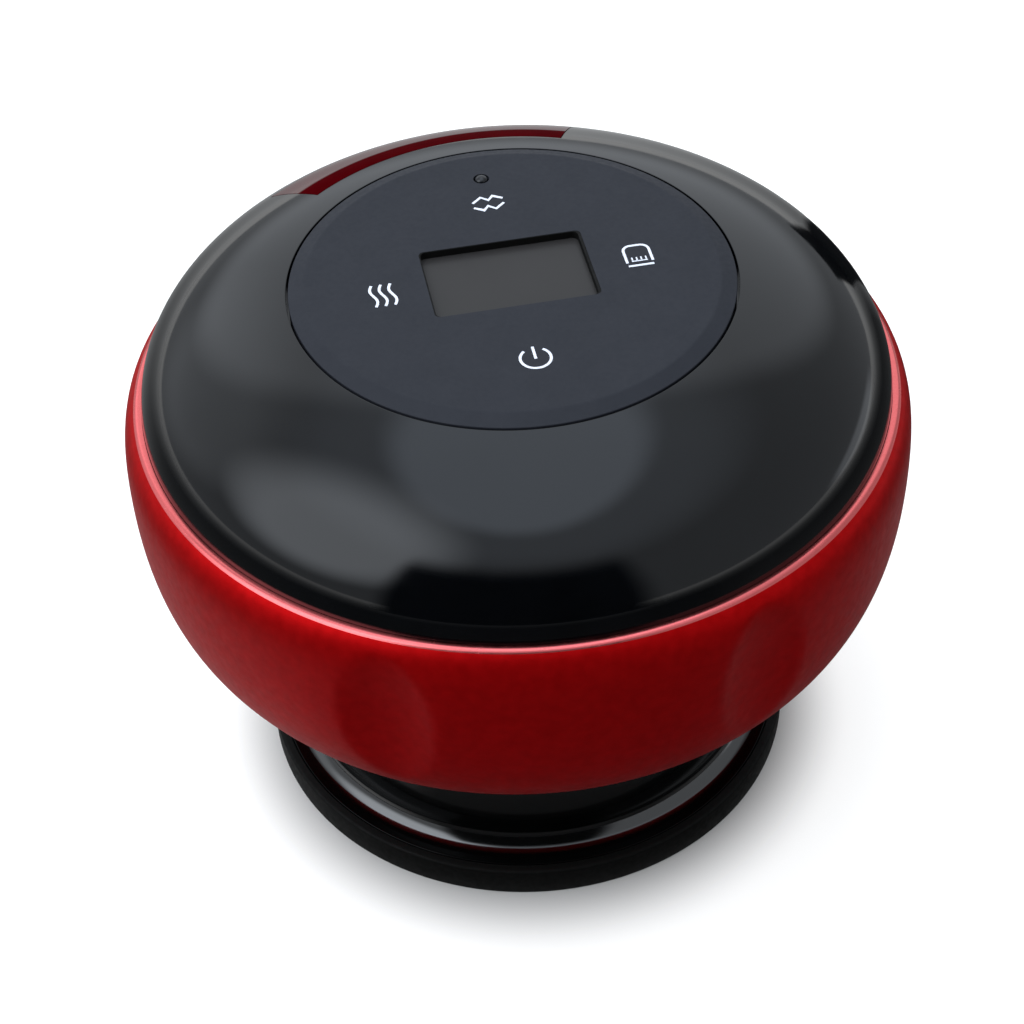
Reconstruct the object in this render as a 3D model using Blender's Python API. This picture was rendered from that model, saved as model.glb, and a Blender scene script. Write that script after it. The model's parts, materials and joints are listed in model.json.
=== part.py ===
"""Electric cupping massager: a palm-held suction cup with its pump, battery and touch panel.

Frame: metres, +Z up, origin at the centre of the cup's mouth on the surface it stands on.
The front, with the power symbol, faces -Y; +X is to its right.
Outlines are lists of (radius, height) or of flat (across, up) points.
"""
from math import cos, degrees, hypot, pi, radians, sin, tan, tau

import bmesh
import bpy
from mathutils import Matrix, Vector

MM = 0.001

# Gaps and mesh steps
CLEAR = 0.3 * MM
WELD = 0.001 * MM
OVERRUN = 1.0 * MM
BODY_STEPS = 48
RING_STEPS = 32
DISC_STEPS = 20
PIN_STEPS = 10
CURVE_STEPS = 7
CORNER_STEPS = 3
BEND_STEPS = 5
SMOOTH_DEGREES = 35

# Red shell: a bowl below its widest line, a short shoulder and a bead above it
BODY_MARGIN = 6.6 * MM
SHELL_WALL = 2.2 * MM
BOWL_SIDE_SHARE = 0.686
BOWL_FLOOR_SHARE = 0.706
BOWL_FLOOR_DEGREES = 15.0
SHOULDER_HEIGHT = 10.7 * MM
SHOULDER_DROP = 1.2 * MM
SHOULDER_STEP = 0.4 * MM
SHOULDER_REACH = 3.3 * MM
SEAM_INSET = 3.1 * MM
BEAD_WIDTH = 1.0 * MM
BEAD_GROOVE_DEPTH = 0.5 * MM
LEDGE_WIDTH = 1.0 * MM
LEDGE_HEIGHT = 0.9 * MM
LEDGE_RAMP = 1.1 * MM

# Finger dimples in the red shell
DIMPLE_DEGREES = 25.5
DIMPLE_DROP = 3.5 * MM
DIMPLE_WIDTH = 15.0 * MM
DIMPLE_HEIGHT = 25.0 * MM
DIMPLE_DEPTH = 0.6 * MM
DIMPLE_BLANK_DEPTH = 2.4 * MM
DIMPLE_BLANK_SHARE = 1.35

# Dome
DOME_HEIGHT = 16.0 * MM
DOME_TOP_SLOPE_DEGREES = 13.1
DOME_TOP_SHARE = 0.52
DOME_SIDE_SHARE = 0.5
DOME_WALL = 2.0 * MM
DOME_RIM_DROP = 1.9 * MM
SKIRT_WALL = 1.4 * MM
SKIRT_DEPTH = 7.0 * MM
SNAP_PROUD = 0.7 * MM
SNAP_DROP = 1.9 * MM
SNAP_HEIGHT = 1.8 * MM

# Red inlay at the back of the dome
ACCENT_GAP = 5.65 * MM
ACCENT_WIDTH = 9.0 * MM
ACCENT_LEFT_DEGREES = 38.5
ACCENT_RIGHT_DEGREES = 22.5
ACCENT_THICKNESS = 0.9 * MM

# Touch panel, its window and what lies under it
PANEL_MARGIN = 7.65 * MM
PANEL_PROUD = 0.8 * MM
PANEL_BAND_WIDTH = 2.15 * MM
PANEL_BAND_DROP = 0.75 * MM
PANEL_THICKNESS = 2.4 * MM
PANEL_SEAT_WIDTH = 2.3 * MM
PANEL_SEAT_THICKNESS = 1.5 * MM
WINDOW_WIDTH = 22.0 * MM
WINDOW_HEIGHT = 13.6 * MM
WINDOW_CORNER = 0.8 * MM
WINDOW_DEPTH = 0.8 * MM
LENS_MARGIN = 0.8 * MM
LENS_THICKNESS = 1.0 * MM
DISPLAY_MARGIN = 2.4 * MM
LIGHT_PIPE_STEP = 5.1 * MM
LIGHT_PIPE_RADIUS = 0.9 * MM
LIGHT_PIPE_PROUD = 0.4 * MM
LIGHT_PIPE_FOOT = 1.5 * MM
SYMBOL_STEP = 6.3 * MM
CONTACT_RADIUS = 2.5 * MM

# Main board, hung from the dome's bosses
PANEL_GAP = 8.5 * MM
HEAD_GAP = 4.3 * MM
BOARD_THICKNESS = 1.6 * MM
CHIP_DEPTH = 1.2 * MM
CHIP_BURIED = 0.5 * MM
CONTROLLER_SIZE = 9.0 * MM
CONTROLLER_PLACE = 20.0 * MM
DRIVER_SIZE = 5.0 * MM
DRIVER_PLACE = 26.0 * MM
BOSS_REACH = 2.15 * MM
BOSS_INSET = 3.5 * MM
BOSS_RADIUS = 2.6 * MM
BOSS_BURIED = 0.8 * MM

# Screws: one pattern and one set of directions for all threes
SCREW_TURNS = (30, 150, 270)
SCREW_RADIUS = 1.0 * MM
SCREW_HEAD_RADIUS = 2.1 * MM
SCREW_HEAD_HEIGHT = 1.3 * MM
SCREW_CORNER = 0.3 * MM
SCREW_SOCKET_RADIUS = 0.9 * MM
SCREW_SOCKET_DEPTH = 0.7 * MM
SCREW_BITE = 3.4 * MM

# Cup
NECK_RADIUS = 34.4 * MM
NECK_WALL = 2.4 * MM
NECK_HEIGHT = 23.2 * MM
FLANGE_REACH = 4.0 * MM
FLANGE_TOP_Z = 4.9 * MM
FLANGE_FILLET = 3.0 * MM
CUP_BOTTOM_Z = 1.8 * MM
CEILING_THICKNESS = 2.0 * MM
LIP_REACH = 2.4 * MM
LIP_THICKNESS = 2.0 * MM
LIP_MARGIN = 0.2 * MM
SOCKET_RADIUS = 8.0 * MM
SOCKET_WALL = 2.2 * MM
SOCKET_DEPTH = 5.8 * MM
POST_INSET = 2.8 * MM
POST_RADIUS = 2.3 * MM
GROMMET_X = 14.0 * MM
GROMMET_STEP = 4.5 * MM
GROMMET_RADIUS = 2.4 * MM
GROMMET_FLANGE = 3.6 * MM
GROMMET_FLANGE_HEIGHT = 1.2 * MM

# Soft ring round the foot
MOUTH_WALL = 1.2 * MM
MOUTH_LIP = 0.6 * MM
MOUTH_ROUNDING = 0.5 * MM
GASKET_HEIGHT = 1.6 * MM
GASKET_WIDTH = 3.4 * MM

# Heated plate, lights and filter in the cup's ceiling
PLATE_THICKNESS = 1.2 * MM
LIGHT_COUNT = 8
LIGHT_RADIUS = 3.0 * MM
LIGHT_PROUD = 0.9 * MM
RING_WIDTH = 9.0 * MM
RING_THICKNESS = 1.5 * MM
LIGHT_BOARD_THICKNESS = 1.4 * MM
CAP_REACH = 2.4 * MM
CAP_THICKNESS = 1.6 * MM
CAP_COLLAR_HEIGHT = 2.6 * MM
CAP_COLLAR_WALL = 0.9 * MM
CAP_HOLE_COUNT = 6
CAP_HOLE_PLACE = 4.2 * MM
CAP_HOLE_RADIUS = 1.0 * MM

# Chassis
CHASSIS_GAP = 1.0 * MM
CHASSIS_THICKNESS = 2.0 * MM
CHASSIS_SKIRT_DEPTH = 1.0 * MM
CHASSIS_BOSS_INSET = 3.8 * MM
CHASSIS_BOSS_RADIUS = 2.5 * MM
CHASSIS_HOLE_RADIUS = 4.2 * MM

# Pump: motor lying along X, crankcase at its right-hand end, head on top
PUMP_Y = 12.0 * MM
MOTOR_RADIUS = 12.1 * MM
MOTOR_LENGTH = 28.0 * MM
MOTOR_FRONT_X = -4.0 * MM
MOTOR_LIFT = 1.3 * MM
MOTOR_EDGE = 1.0 * MM
MOTOR_NOSE_RADIUS = 3.0 * MM
MOTOR_NOSE_LENGTH = 1.5 * MM
SHAFT_RADIUS = 1.0 * MM
SHAFT_BURIED = 4.0 * MM
CASE_LENGTH = 15.7 * MM
CASE_WIDTH = 22.0 * MM
CASE_HEIGHT = 18.0 * MM
CASE_WALL = 2.2 * MM
CASE_LIFT = 1.9 * MM
CRANK_THROW = 0.9 * MM
CRANK_RADIUS = 3.2 * MM
CRANK_THICKNESS = 3.0 * MM
CRANK_PIN_RADIUS = 1.3 * MM
CRANK_PIN_LENGTH = 4.6 * MM
ROD_EYE_RADIUS = 3.2 * MM
ROD_THICKNESS = 3.4 * MM
ROD_WIDTH = 2.4 * MM
ROD_HEAD_RADIUS = 3.2 * MM
ROD_HEAD_HEIGHT = 1.1 * MM
DIAPHRAGM_THICKNESS = 1.0 * MM
HEAD_HEIGHT = 6.6 * MM
HEAD_CORNER = 0.8 * MM
INLET_DROP = 3.2 * MM
INLET_STEP = 2.2 * MM
STRAP_THICKNESS = 1.0 * MM
STRAP_WIDTH = 9.0 * MM
STRAP_SHIFT = 4.0 * MM
STRAP_FOOT = 5.4 * MM
SADDLE_LENGTH = 16.0 * MM
SADDLE_WIDTH = 17.0 * MM
SADDLE_HEIGHT = 6.0 * MM

# Battery
CELL_RADIUS = 9.2 * MM
CELL_LENGTH = 65.0 * MM
CELL_GAP = 6.2 * MM
CELL_EDGE = 0.8 * MM
CELL_TIP_RADIUS = 3.0 * MM
CELL_TIP_LENGTH = 1.2 * MM
CRADLE_WIDTH = 16.0 * MM
CRADLE_END = 1.4 * MM
CRADLE_FLOOR = 1.4 * MM
CRADLE_HEIGHT = 11.5 * MM

# Release valve, standing upright right of the crankcase
VALVE_GAP = 5.3 * MM
YOKE_WIDTH = 16.4 * MM
YOKE_DEPTH = 10.0 * MM
YOKE_SHEET = 1.2 * MM
COIL_RADIUS = 6.4 * MM
COIL_HEIGHT = 9.2 * MM
COIL_WALL = 1.2 * MM
COIL_GROOVE = 0.8 * MM
PLUNGER_RADIUS = 2.7 * MM
PLUNGER_LENGTH = 11.0 * MM
PLUNGER_FLANGE_RADIUS = 4.7 * MM
PLUNGER_FLANGE = 1.2 * MM
VALVE_TRAVEL = 1.2 * MM
SPRING_HEIGHT = 4.0 * MM
SPRING_RADIUS = 3.8 * MM
SPRING_WIRE = 0.25 * MM
SPRING_TURNS = 3
SPRING_TURN_POINTS = 8
SPRING_SIDES = 5
SEAT_THICKNESS = 0.6 * MM

# Hoses, nipples and the piece that joins them
HOSE_BORE = 1.6 * MM
HOSE_RADIUS = 2.6 * MM
HOSE_SIDES = 10
HOSE_BEND = 4.5 * MM
NIPPLE_RADIUS = 1.3 * MM
NIPPLE_BORE = 0.7 * MM
NIPPLE_LENGTH = 3.2 * MM
MANIFOLD_RISE = 7.9 * MM
MANIFOLD_SIZE = 5.4 * MM
SIDE_BORE = 0.5 * MM
SENSOR_X = -16.0 * MM
SENSOR_SIZE = 7.0 * MM
SENSOR_HEIGHT = 2.0 * MM

# Charging board and socket at the back
PORT_RISE = 9.0 * MM
PORT_WIDTH = 8.9 * MM
PORT_HEIGHT = 3.2 * MM
PORT_LENGTH = 9.6 * MM
PORT_SHEET = 0.35 * MM
PORT_CORNER = 1.1 * MM
PORT_TONGUE_WIDTH = 6.4 * MM
PORT_TONGUE_HEIGHT = 0.7 * MM
PORT_TONGUE_GAP = 1.6 * MM
PORT_CAVITY_DEPTH = 6.2 * MM
PORT_SETBACK = 0.6 * MM
PORT_MARGIN = 0.6 * MM
CHARGE_BOARD_WIDTH = 18.0 * MM
CHARGE_BOARD_LENGTH = 15.0 * MM
CHARGE_BOARD_THICKNESS = 1.2 * MM
CHARGE_BOARD_SETBACK = 6.0 * MM
CHARGE_POST_RADIUS = 2.6 * MM
CHARGE_POST_INSET = 3.2 * MM

# Cables
CABLE_RADIUS = 0.9 * MM
CABLE_SIDES = 8
CABLE_BEND = 2.0 * MM
CABLE_REACH = 4.0 * MM
CABLE_DROP = 4.5 * MM
BATTERY_LEAD_STEP = (12.0 * MM, 5.5 * MM)

# Across: pump and cell set the body's radius, the neck sets the cup, the window sets the panel
HOLE_RADIUS = SCREW_RADIUS + CLEAR
CASE_FRONT_Y = PUMP_Y - CASE_WIDTH / 2
CASE_X = MOTOR_FRONT_X + CLEAR + MOTOR_NOSE_LENGTH
CRANK_X = CASE_X + CASE_WALL + CLEAR
INLET_X = CASE_X + INLET_STEP
STRAP_X = MOTOR_FRONT_X - MOTOR_LENGTH / 2 - STRAP_SHIFT
VALVE_X = CASE_X + CASE_LENGTH + VALVE_GAP + YOKE_WIDTH / 2
VALVE_Y = PUMP_Y
CUP_NIPPLE_Y = CASE_FRONT_Y - CLEAR - NIPPLE_LENGTH - HOSE_BEND
GROMMET_PLACE = (GROMMET_X, CUP_NIPPLE_Y - GROMMET_STEP)
CELL_Y = CUP_NIPPLE_Y - HOSE_RADIUS - CELL_GAP - CELL_RADIUS
CRADLE_X = CELL_LENGTH / 2 + CELL_TIP_LENGTH + CLEAR + CRADLE_END
BODY_RADIUS = hypot(CRADLE_X, CRADLE_WIDTH / 2 - CELL_Y) + BODY_MARGIN
SEAM_RADIUS = BODY_RADIUS - SEAM_INSET
DOME_EDGE_RADIUS = SEAM_RADIUS - CLEAR / 2
BEAD_INNER_RADIUS = SEAM_RADIUS + CLEAR / 2
BEAD_OUTER_RADIUS = BEAD_INNER_RADIUS + BEAD_WIDTH
SHOULDER_RADIUS = BEAD_OUTER_RADIUS + SHOULDER_STEP
LEDGE_INNER_RADIUS = BEAD_INNER_RADIUS - LEDGE_WIDTH
SKIRT_RADIUS = LEDGE_INNER_RADIUS - CLEAR
CHARGE_BOARD_BACK_Y = BODY_RADIUS - CHARGE_BOARD_SETBACK
NECK_INNER_RADIUS = NECK_RADIUS - NECK_WALL
FLANGE_RADIUS = NECK_RADIUS + FLANGE_REACH
LIP_RADIUS = NECK_RADIUS + LIP_REACH
BOWL_FLOOR_RADIUS = LIP_RADIUS + LIP_MARGIN
MOUTH_RADIUS = FLANGE_RADIUS + CLEAR + MOUTH_WALL
MOUTH_INNER_RADIUS = NECK_INNER_RADIUS - MOUTH_LIP
POST_PLACE = NECK_INNER_RADIUS - POST_INSET
RING_OUTER_RADIUS = POST_PLACE - POST_RADIUS - CLEAR
RING_INNER_RADIUS = RING_OUTER_RADIUS - RING_WIDTH
LIGHT_PLACE = RING_OUTER_RADIUS - RING_WIDTH / 2
CAP_RADIUS = SOCKET_RADIUS + SOCKET_WALL + CAP_REACH
SYMBOL_PLACE = WINDOW_WIDTH / 2 + SYMBOL_STEP
LIGHT_PIPE_PLACE = SYMBOL_PLACE + LIGHT_PIPE_STEP
PANEL_RADIUS = LIGHT_PIPE_PLACE + PANEL_MARGIN
PANEL_FLAT_RADIUS = PANEL_RADIUS - PANEL_BAND_WIDTH
PANEL_OPENING_RADIUS = PANEL_RADIUS + CLEAR
BOSS_PLACE = PANEL_OPENING_RADIUS + BOSS_REACH
BOARD_RADIUS = BOSS_PLACE + BOSS_INSET
ACCENT_INNER_RADIUS = PANEL_OPENING_RADIUS + ACCENT_GAP
ACCENT_OUTER_RADIUS = ACCENT_INNER_RADIUS + ACCENT_WIDTH

# Upwards: foot, neck, chassis, pump, board, panel; then the shell's lines down from the panel
BOWL_BOTTOM_Z = FLANGE_TOP_Z + NECK_HEIGHT
CEILING_TOP_Z = BOWL_BOTTOM_Z
CEILING_Z = CEILING_TOP_Z - CEILING_THICKNESS
LIGHT_BOARD_Z = CEILING_Z - CLEAR - LIGHT_BOARD_THICKNESS
RING_Z = LIGHT_BOARD_Z - CLEAR - RING_THICKNESS
PLATE_Z = RING_Z - CLEAR - PLATE_THICKNESS
FLOOR_TOP_Z = BOWL_BOTTOM_Z + SHELL_WALL
LIP_Z = FLOOR_TOP_Z + CLEAR
LIP_TOP_Z = LIP_Z + LIP_THICKNESS
GASKET_Z = LIP_TOP_Z + CLEAR
SKIRT_BOTTOM_Z = GASKET_Z + GASKET_HEIGHT + CLEAR
CHASSIS_Z = SKIRT_BOTTOM_Z + CHASSIS_SKIRT_DEPTH
CHASSIS_TOP_Z = CHASSIS_Z + CHASSIS_THICKNESS
DECK_Z = CHASSIS_TOP_Z + CLEAR
MANIFOLD_Z = DECK_Z + MANIFOLD_RISE
PORT_Z = DECK_Z + PORT_RISE
PUMP_Z = DECK_Z + MOTOR_LIFT + MOTOR_RADIUS
CASE_BOTTOM_Z = DECK_Z + CASE_LIFT
CASE_TOP_Z = CASE_BOTTOM_Z + CASE_HEIGHT
HEAD_Z = CASE_TOP_Z + CLEAR + DIAPHRAGM_THICKNESS + CLEAR
HEAD_TOP_Z = HEAD_Z + HEAD_HEIGHT
INLET_Z = HEAD_TOP_Z - INLET_DROP
COIL_Z = DECK_Z + YOKE_SHEET + CLEAR
COIL_TOP_Z = COIL_Z + COIL_HEIGHT
SPRING_Z = COIL_TOP_Z + CLEAR
PLUNGER_FLANGE_Z = SPRING_Z + SPRING_HEIGHT + CLEAR
SEAT_Z = PLUNGER_FLANGE_Z + PLUNGER_FLANGE + CLEAR
YOKE_TOP_Z = SEAT_Z + SEAT_THICKNESS + CLEAR + YOKE_SHEET
BOARD_BOTTOM_Z = HEAD_TOP_Z + HEAD_GAP
BOARD_TOP_Z = BOARD_BOTTOM_Z + BOARD_THICKNESS
PANEL_BOTTOM_Z = BOARD_TOP_Z + PANEL_GAP
PANEL_TOP_Z = PANEL_BOTTOM_Z + PANEL_THICKNESS
PANEL_SEAT_Z = PANEL_BOTTOM_Z - CLEAR
DOME_TOP_Z = PANEL_TOP_Z - PANEL_PROUD
SEAM_Z = DOME_TOP_Z - DOME_HEIGHT
LEDGE_Z = SEAM_Z - DOME_RIM_DROP - CLEAR
SHOULDER_Z = SEAM_Z - SHOULDER_DROP
BODY_WIDEST_Z = SEAM_Z - SHOULDER_HEIGHT


def clear_scene():
    for thing in list(bpy.data.objects):
        bpy.data.objects.remove(thing)


def material(name, colour, roughness, metallic=0.0, alpha=1.0):
    """The named material, made on first use."""
    known = bpy.data.materials.get(name)
    if known:
        return known
    made = bpy.data.materials.new(name)
    made.use_nodes = True
    shader = made.node_tree.nodes["Principled BSDF"]
    shader.inputs["Base Color"].default_value = (*colour, 1.0)
    shader.inputs["Roughness"].default_value = roughness
    shader.inputs["Metallic"].default_value = metallic
    shader.inputs["Alpha"].default_value = alpha
    made.diffuse_color = (*colour, alpha)
    return made


def red_paint():
    return material("red_paint", (0.42, 0.01, 0.015), 0.32, 0.5)


def gloss_black():
    return material("gloss_black", (0.012, 0.013, 0.015), 0.08)


def slate():
    return material("slate", (0.045, 0.048, 0.06), 0.55)


def smoked_window():
    return material("smoked_window", (0.07, 0.066, 0.063), 0.2)


def soft_black():
    return material("soft_black", (0.02, 0.02, 0.02), 0.7)


def dark_red():
    return material("dark_red", (0.12, 0.0, 0.004), 0.1)


def black_plastic():
    return material("black_plastic", (0.03, 0.03, 0.032), 0.5)


def grey_plastic():
    return material("grey_plastic", (0.35, 0.36, 0.37), 0.5)


def white_plastic():
    return material("white_plastic", (0.75, 0.74, 0.7), 0.5)


def steel():
    return material("steel", (0.55, 0.56, 0.57), 0.3, 1.0)


def aluminium():
    return material("aluminium", (0.3, 0.3, 0.31), 0.4, 1.0)


def circuit_board():
    return material("circuit_board", (0.01, 0.13, 0.05), 0.45)


def clear_silicone():
    return material("clear_silicone", (0.8, 0.8, 0.78), 0.3)


def cell_wrap():
    return material("cell_wrap", (0.02, 0.2, 0.45), 0.4)


def red_light():
    return material("red_light", (0.7, 0.04, 0.03), 0.2)


def sponge():
    return material("sponge", (0.85, 0.85, 0.82), 0.95)


def cable_jacket():
    return material("cable_jacket", (0.25, 0.02, 0.02), 0.5)


def bezier(first, second, third, fourth, steps):
    """Points along one cubic curve, both ends included."""
    points = []
    for step in range(steps + 1):
        t = step / steps
        shares = ((1 - t) ** 3, 3 * t * (1 - t) ** 2, 3 * t * t * (1 - t), t ** 3)
        pulls = zip(shares, (first, second, third, fourth))
        pairs = [(share * point[0], share * point[1]) for share, point in pulls]
        points.append((sum(pair[0] for pair in pairs), sum(pair[1] for pair in pairs)))
    return points


def arc(centre, radius, start, end, steps):
    """Points along an arc given in degrees, both ends included."""
    angles = [radians(start + (end - start) * step / steps) for step in range(steps + 1)]
    return [(centre[0] + radius * cos(a), centre[1] + radius * sin(a)) for a in angles]


def offset(points, distance):
    """An open outline moved sideways, to the right of its direction of travel."""
    moved = []
    for index, point in enumerate(points):
        before = points[max(index - 1, 0)]
        after = points[min(index + 1, len(points) - 1)]
        along = Vector((after[0] - before[0], after[1] - before[1])).normalized()
        moved.append((point[0] + along.y * distance, point[1] - along.x * distance))
    return moved


def rounded_rectangle(width, height, corner):
    points = []
    for quarter in range(4):
        turn = quarter * 90
        sign_x = 1 if quarter in (0, 3) else -1
        sign_y = 1 if quarter in (0, 1) else -1
        centre = (sign_x * (width / 2 - corner), sign_y * (height / 2 - corner))
        points += arc(centre, corner, turn, turn + 90, CORNER_STEPS)
    return points


def add_object(name, mesh_data, look, place=(0, 0, 0)):
    """Turns a finished bmesh into an object."""
    bmesh.ops.remove_doubles(mesh_data, verts=mesh_data.verts, dist=WELD)
    bmesh.ops.recalc_face_normals(mesh_data, faces=mesh_data.faces)
    mesh = bpy.data.meshes.new(name)
    mesh_data.to_mesh(mesh)
    mesh_data.free()
    mesh.materials.append(look)
    thing = bpy.data.objects.new(name, mesh)
    thing.location = place
    bpy.context.scene.collection.objects.link(thing)
    return thing


def turned(name, outline, look, steps=RING_STEPS, place=(0, 0, 0), lie=None, sector=None):
    """A body turned round the Z axis from a closed (radius, height) outline.

    lie tips the finished body so that its axis runs along "X" or "Y";
    sector gives its first and last angle in degrees when it isn't a full turn.
    """
    start, end = sector or (0, 360)
    shape = bmesh.new()
    angle = radians(start)
    corners = [shape.verts.new((r * cos(angle), r * sin(angle), z)) for r, z in outline]
    pairs = list(zip(corners, corners[1:]))
    if outline[0][0] > 0 or outline[-1][0] > 0:
        pairs.append((corners[-1], corners[0]))
    edges = [shape.edges.new(pair) for pair in pairs]
    bmesh.ops.spin(shape, geom=corners + edges, cent=(0, 0, 0), axis=(0, 0, 1),
                   angle=radians(end - start), steps=steps, use_merge=sector is None)
    bmesh.ops.remove_doubles(shape, verts=shape.verts, dist=WELD)
    if sector:
        bmesh.ops.holes_fill(shape, edges=shape.edges)
    if lie == "X":
        bmesh.ops.rotate(shape, matrix=Matrix.Rotation(pi / 2, 3, "Y"), verts=shape.verts)
    if lie == "Y":
        bmesh.ops.rotate(shape, matrix=Matrix.Rotation(-pi / 2, 3, "X"), verts=shape.verts)
    return add_object(name, shape, look, place)


def prism(name, outline, low, high, look, place=(0, 0, 0), lie=None):
    """A flat outline raised from low to high; lie "X" or "Y" points it along that axis."""
    shape = bmesh.new()
    face = shape.faces.new([shape.verts.new((x, y, low)) for x, y in outline])
    raised = bmesh.ops.extrude_face_region(shape, geom=[face])["geom"]
    lifted = [item for item in raised if isinstance(item, bmesh.types.BMVert)]
    bmesh.ops.translate(shape, verts=lifted, vec=(0, 0, high - low))
    if lie == "X":
        to_x = Matrix(((0, 0, 1), (1, 0, 0), (0, 1, 0)))
        bmesh.ops.transform(shape, matrix=to_x.to_4x4(), verts=shape.verts)
    if lie == "Y":
        to_y = Matrix(((-1, 0, 0), (0, 0, 1), (0, 1, 0)))
        bmesh.ops.transform(shape, matrix=to_y.to_4x4(), verts=shape.verts)
    return add_object(name, shape, look, place)


def block(name, low, high, look):
    """A box between two corners."""
    outline = [(low[0], low[1]), (high[0], low[1]), (high[0], high[1]), (low[0], high[1])]
    return prism(name, outline, low[2], high[2], look)


def rod(name, radius, low, high, look, steps=PIN_STEPS, place=(0, 0, 0), lie=None):
    return turned(name, [(0, low), (radius, low), (radius, high), (0, high)],
                  look, steps, place, lie)


def combine(target, tool, operation):
    """Applies a boolean with the tool and removes the tool."""
    change = target.modifiers.new(operation.lower(), "BOOLEAN")
    change.operation = operation
    change.object = tool
    change.solver = "EXACT"
    evaluated = target.evaluated_get(bpy.context.evaluated_depsgraph_get())
    mesh = bpy.data.meshes.new_from_object(evaluated)
    target.modifiers.clear()
    target.data = mesh
    bpy.data.objects.remove(tool)
    return target


def add(target, tool):
    return combine(target, tool, "UNION")


def cut(target, tool):
    return combine(target, tool, "DIFFERENCE")


def tube_rings(points, radius, sides):
    """Rings of points square to a path, with no twist along it."""
    rings = []
    side = None
    for index, point in enumerate(points):
        before = points[max(index - 1, 0)]
        after = points[min(index + 1, len(points) - 1)]
        along = (after - before).normalized()
        if side is None:
            side = along.orthogonal().normalized()
        side = (side - along * side.dot(along)).normalized()
        other = along.cross(side)
        angles = [tau * step / sides for step in range(sides)]
        rings.append([point + radius * (cos(a) * side + sin(a) * other) for a in angles])
    return rings


def tube(name, points, radius, bore, look, sides):
    """A hose or wire along a path; a bore of nothing leaves it solid."""
    shape = bmesh.new()
    skins = [radius, bore] if bore else [radius]
    ends = []
    for skin in skins:
        rings = [[shape.verts.new(p) for p in ring] for ring in tube_rings(points, skin, sides)]
        for near, far in zip(rings, rings[1:]):
            for step in range(sides):
                after = (step + 1) % sides
                shape.faces.new((near[step], near[after], far[after], far[step]))
        ends.append((rings[0], rings[-1]))
    for which in (0, 1):
        if bore:
            outer, inner = ends[0][which], ends[1][which]
            for step in range(sides):
                after = (step + 1) % sides
                shape.faces.new((outer[step], outer[after], inner[after], inner[step]))
        else:
            shape.faces.new(ends[0][which])
    return add_object(name, shape, look)


def rounded_route(corners, bend):
    """The points of a route whose inner corners are rounded to the bend's radius."""
    corners = [Vector(corner) for corner in corners]
    path = [corners[0]]
    for before, corner, after in zip(corners, corners[1:], corners[2:]):
        back = (before - corner).normalized()
        ahead = (after - corner).normalized()
        half_turn = (pi - back.angle(ahead)) / 2
        centre = corner + (back + ahead).normalized() * bend / cos(half_turn)
        out = (corner + back * bend * tan(half_turn) - centre).normalized()
        turns = [2 * half_turn * step / BEND_STEPS for step in range(BEND_STEPS + 1)]
        side = (corner - centre).normalized()
        side = (side - out * side.dot(out)).normalized()
        path += [centre + bend * (cos(turn) * out + sin(turn) * side) for turn in turns]
    return path + [corners[-1]]


def hose(name, corners):
    path = rounded_route(corners, HOSE_BEND)
    return tube(name, path, HOSE_RADIUS, HOSE_BORE, clear_silicone(), HOSE_SIDES)


def around(radius, turn):
    return radius * cos(radians(turn)), radius * sin(radians(turn))


def screw(name, x, y, head_z, points_up, length):
    """A pan-head screw; head_z is the underside of its head."""
    way = 1 if points_up else -1
    socket_z = -SCREW_HEAD_HEIGHT + SCREW_SOCKET_DEPTH
    outline = [
        (0, length), (SCREW_RADIUS, length), (SCREW_RADIUS, 0), (SCREW_HEAD_RADIUS, 0),
        (SCREW_HEAD_RADIUS, SCREW_CORNER - SCREW_HEAD_HEIGHT),
        (SCREW_HEAD_RADIUS - SCREW_CORNER, -SCREW_HEAD_HEIGHT),
        (SCREW_SOCKET_RADIUS, -SCREW_HEAD_HEIGHT), (SCREW_SOCKET_RADIUS, socket_z), (0, socket_z),
    ]
    flipped = [(radius, way * height) for radius, height in outline]
    return turned(name, flipped, steel(), PIN_STEPS, (x, y, head_z))


def boss(name, x, y, low, high, radius, look, open_low):
    """A post with a blind screw hole; open_low says which end the hole opens at."""
    depth = SCREW_BITE + CLEAR
    if open_low:
        outline = [(0, high), (radius, high), (radius, low), (HOLE_RADIUS, low),
                   (HOLE_RADIUS, low + depth), (0, low + depth)]
    else:
        outline = [(0, low), (radius, low), (radius, high), (HOLE_RADIUS, high),
                   (HOLE_RADIUS, high - depth), (0, high - depth)]
    return turned(name, outline, look, PIN_STEPS, (x, y, 0))


def bowl_curve():
    """Outside of the red bowl, from its widest line down to its floor."""
    tilt = radians(BOWL_FLOOR_DEGREES)
    side = BOWL_SIDE_SHARE * (BODY_WIDEST_Z - BOWL_BOTTOM_Z)
    reach = BOWL_FLOOR_SHARE * (BODY_RADIUS - BOWL_FLOOR_RADIUS)
    return bezier((BODY_RADIUS, BODY_WIDEST_Z), (BODY_RADIUS, BODY_WIDEST_Z - side),
                  (BOWL_FLOOR_RADIUS + reach * cos(tilt), BOWL_BOTTOM_Z + reach * sin(tilt)),
                  (BOWL_FLOOR_RADIUS, BOWL_BOTTOM_Z), CURVE_STEPS)


def height_at(points, radius):
    """Height of a falling outline at a radius."""
    for upper, lower in zip(points, points[1:]):
        if lower[0] <= radius <= upper[0]:
            share = (radius - lower[0]) / (upper[0] - lower[0])
            return lower[1] + share * (upper[1] - lower[1])
    return points[0][1]


def chassis_radius():
    """Radius of the chassis: what fits in the bowl at the height of its underside."""
    points = [(height, radius) for radius, height in offset(bowl_curve(), SHELL_WALL)]
    return height_at(points, CHASSIS_Z) - CHASSIS_GAP


def chassis_boss_place():
    return chassis_radius() - CHASSIS_BOSS_INSET


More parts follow.
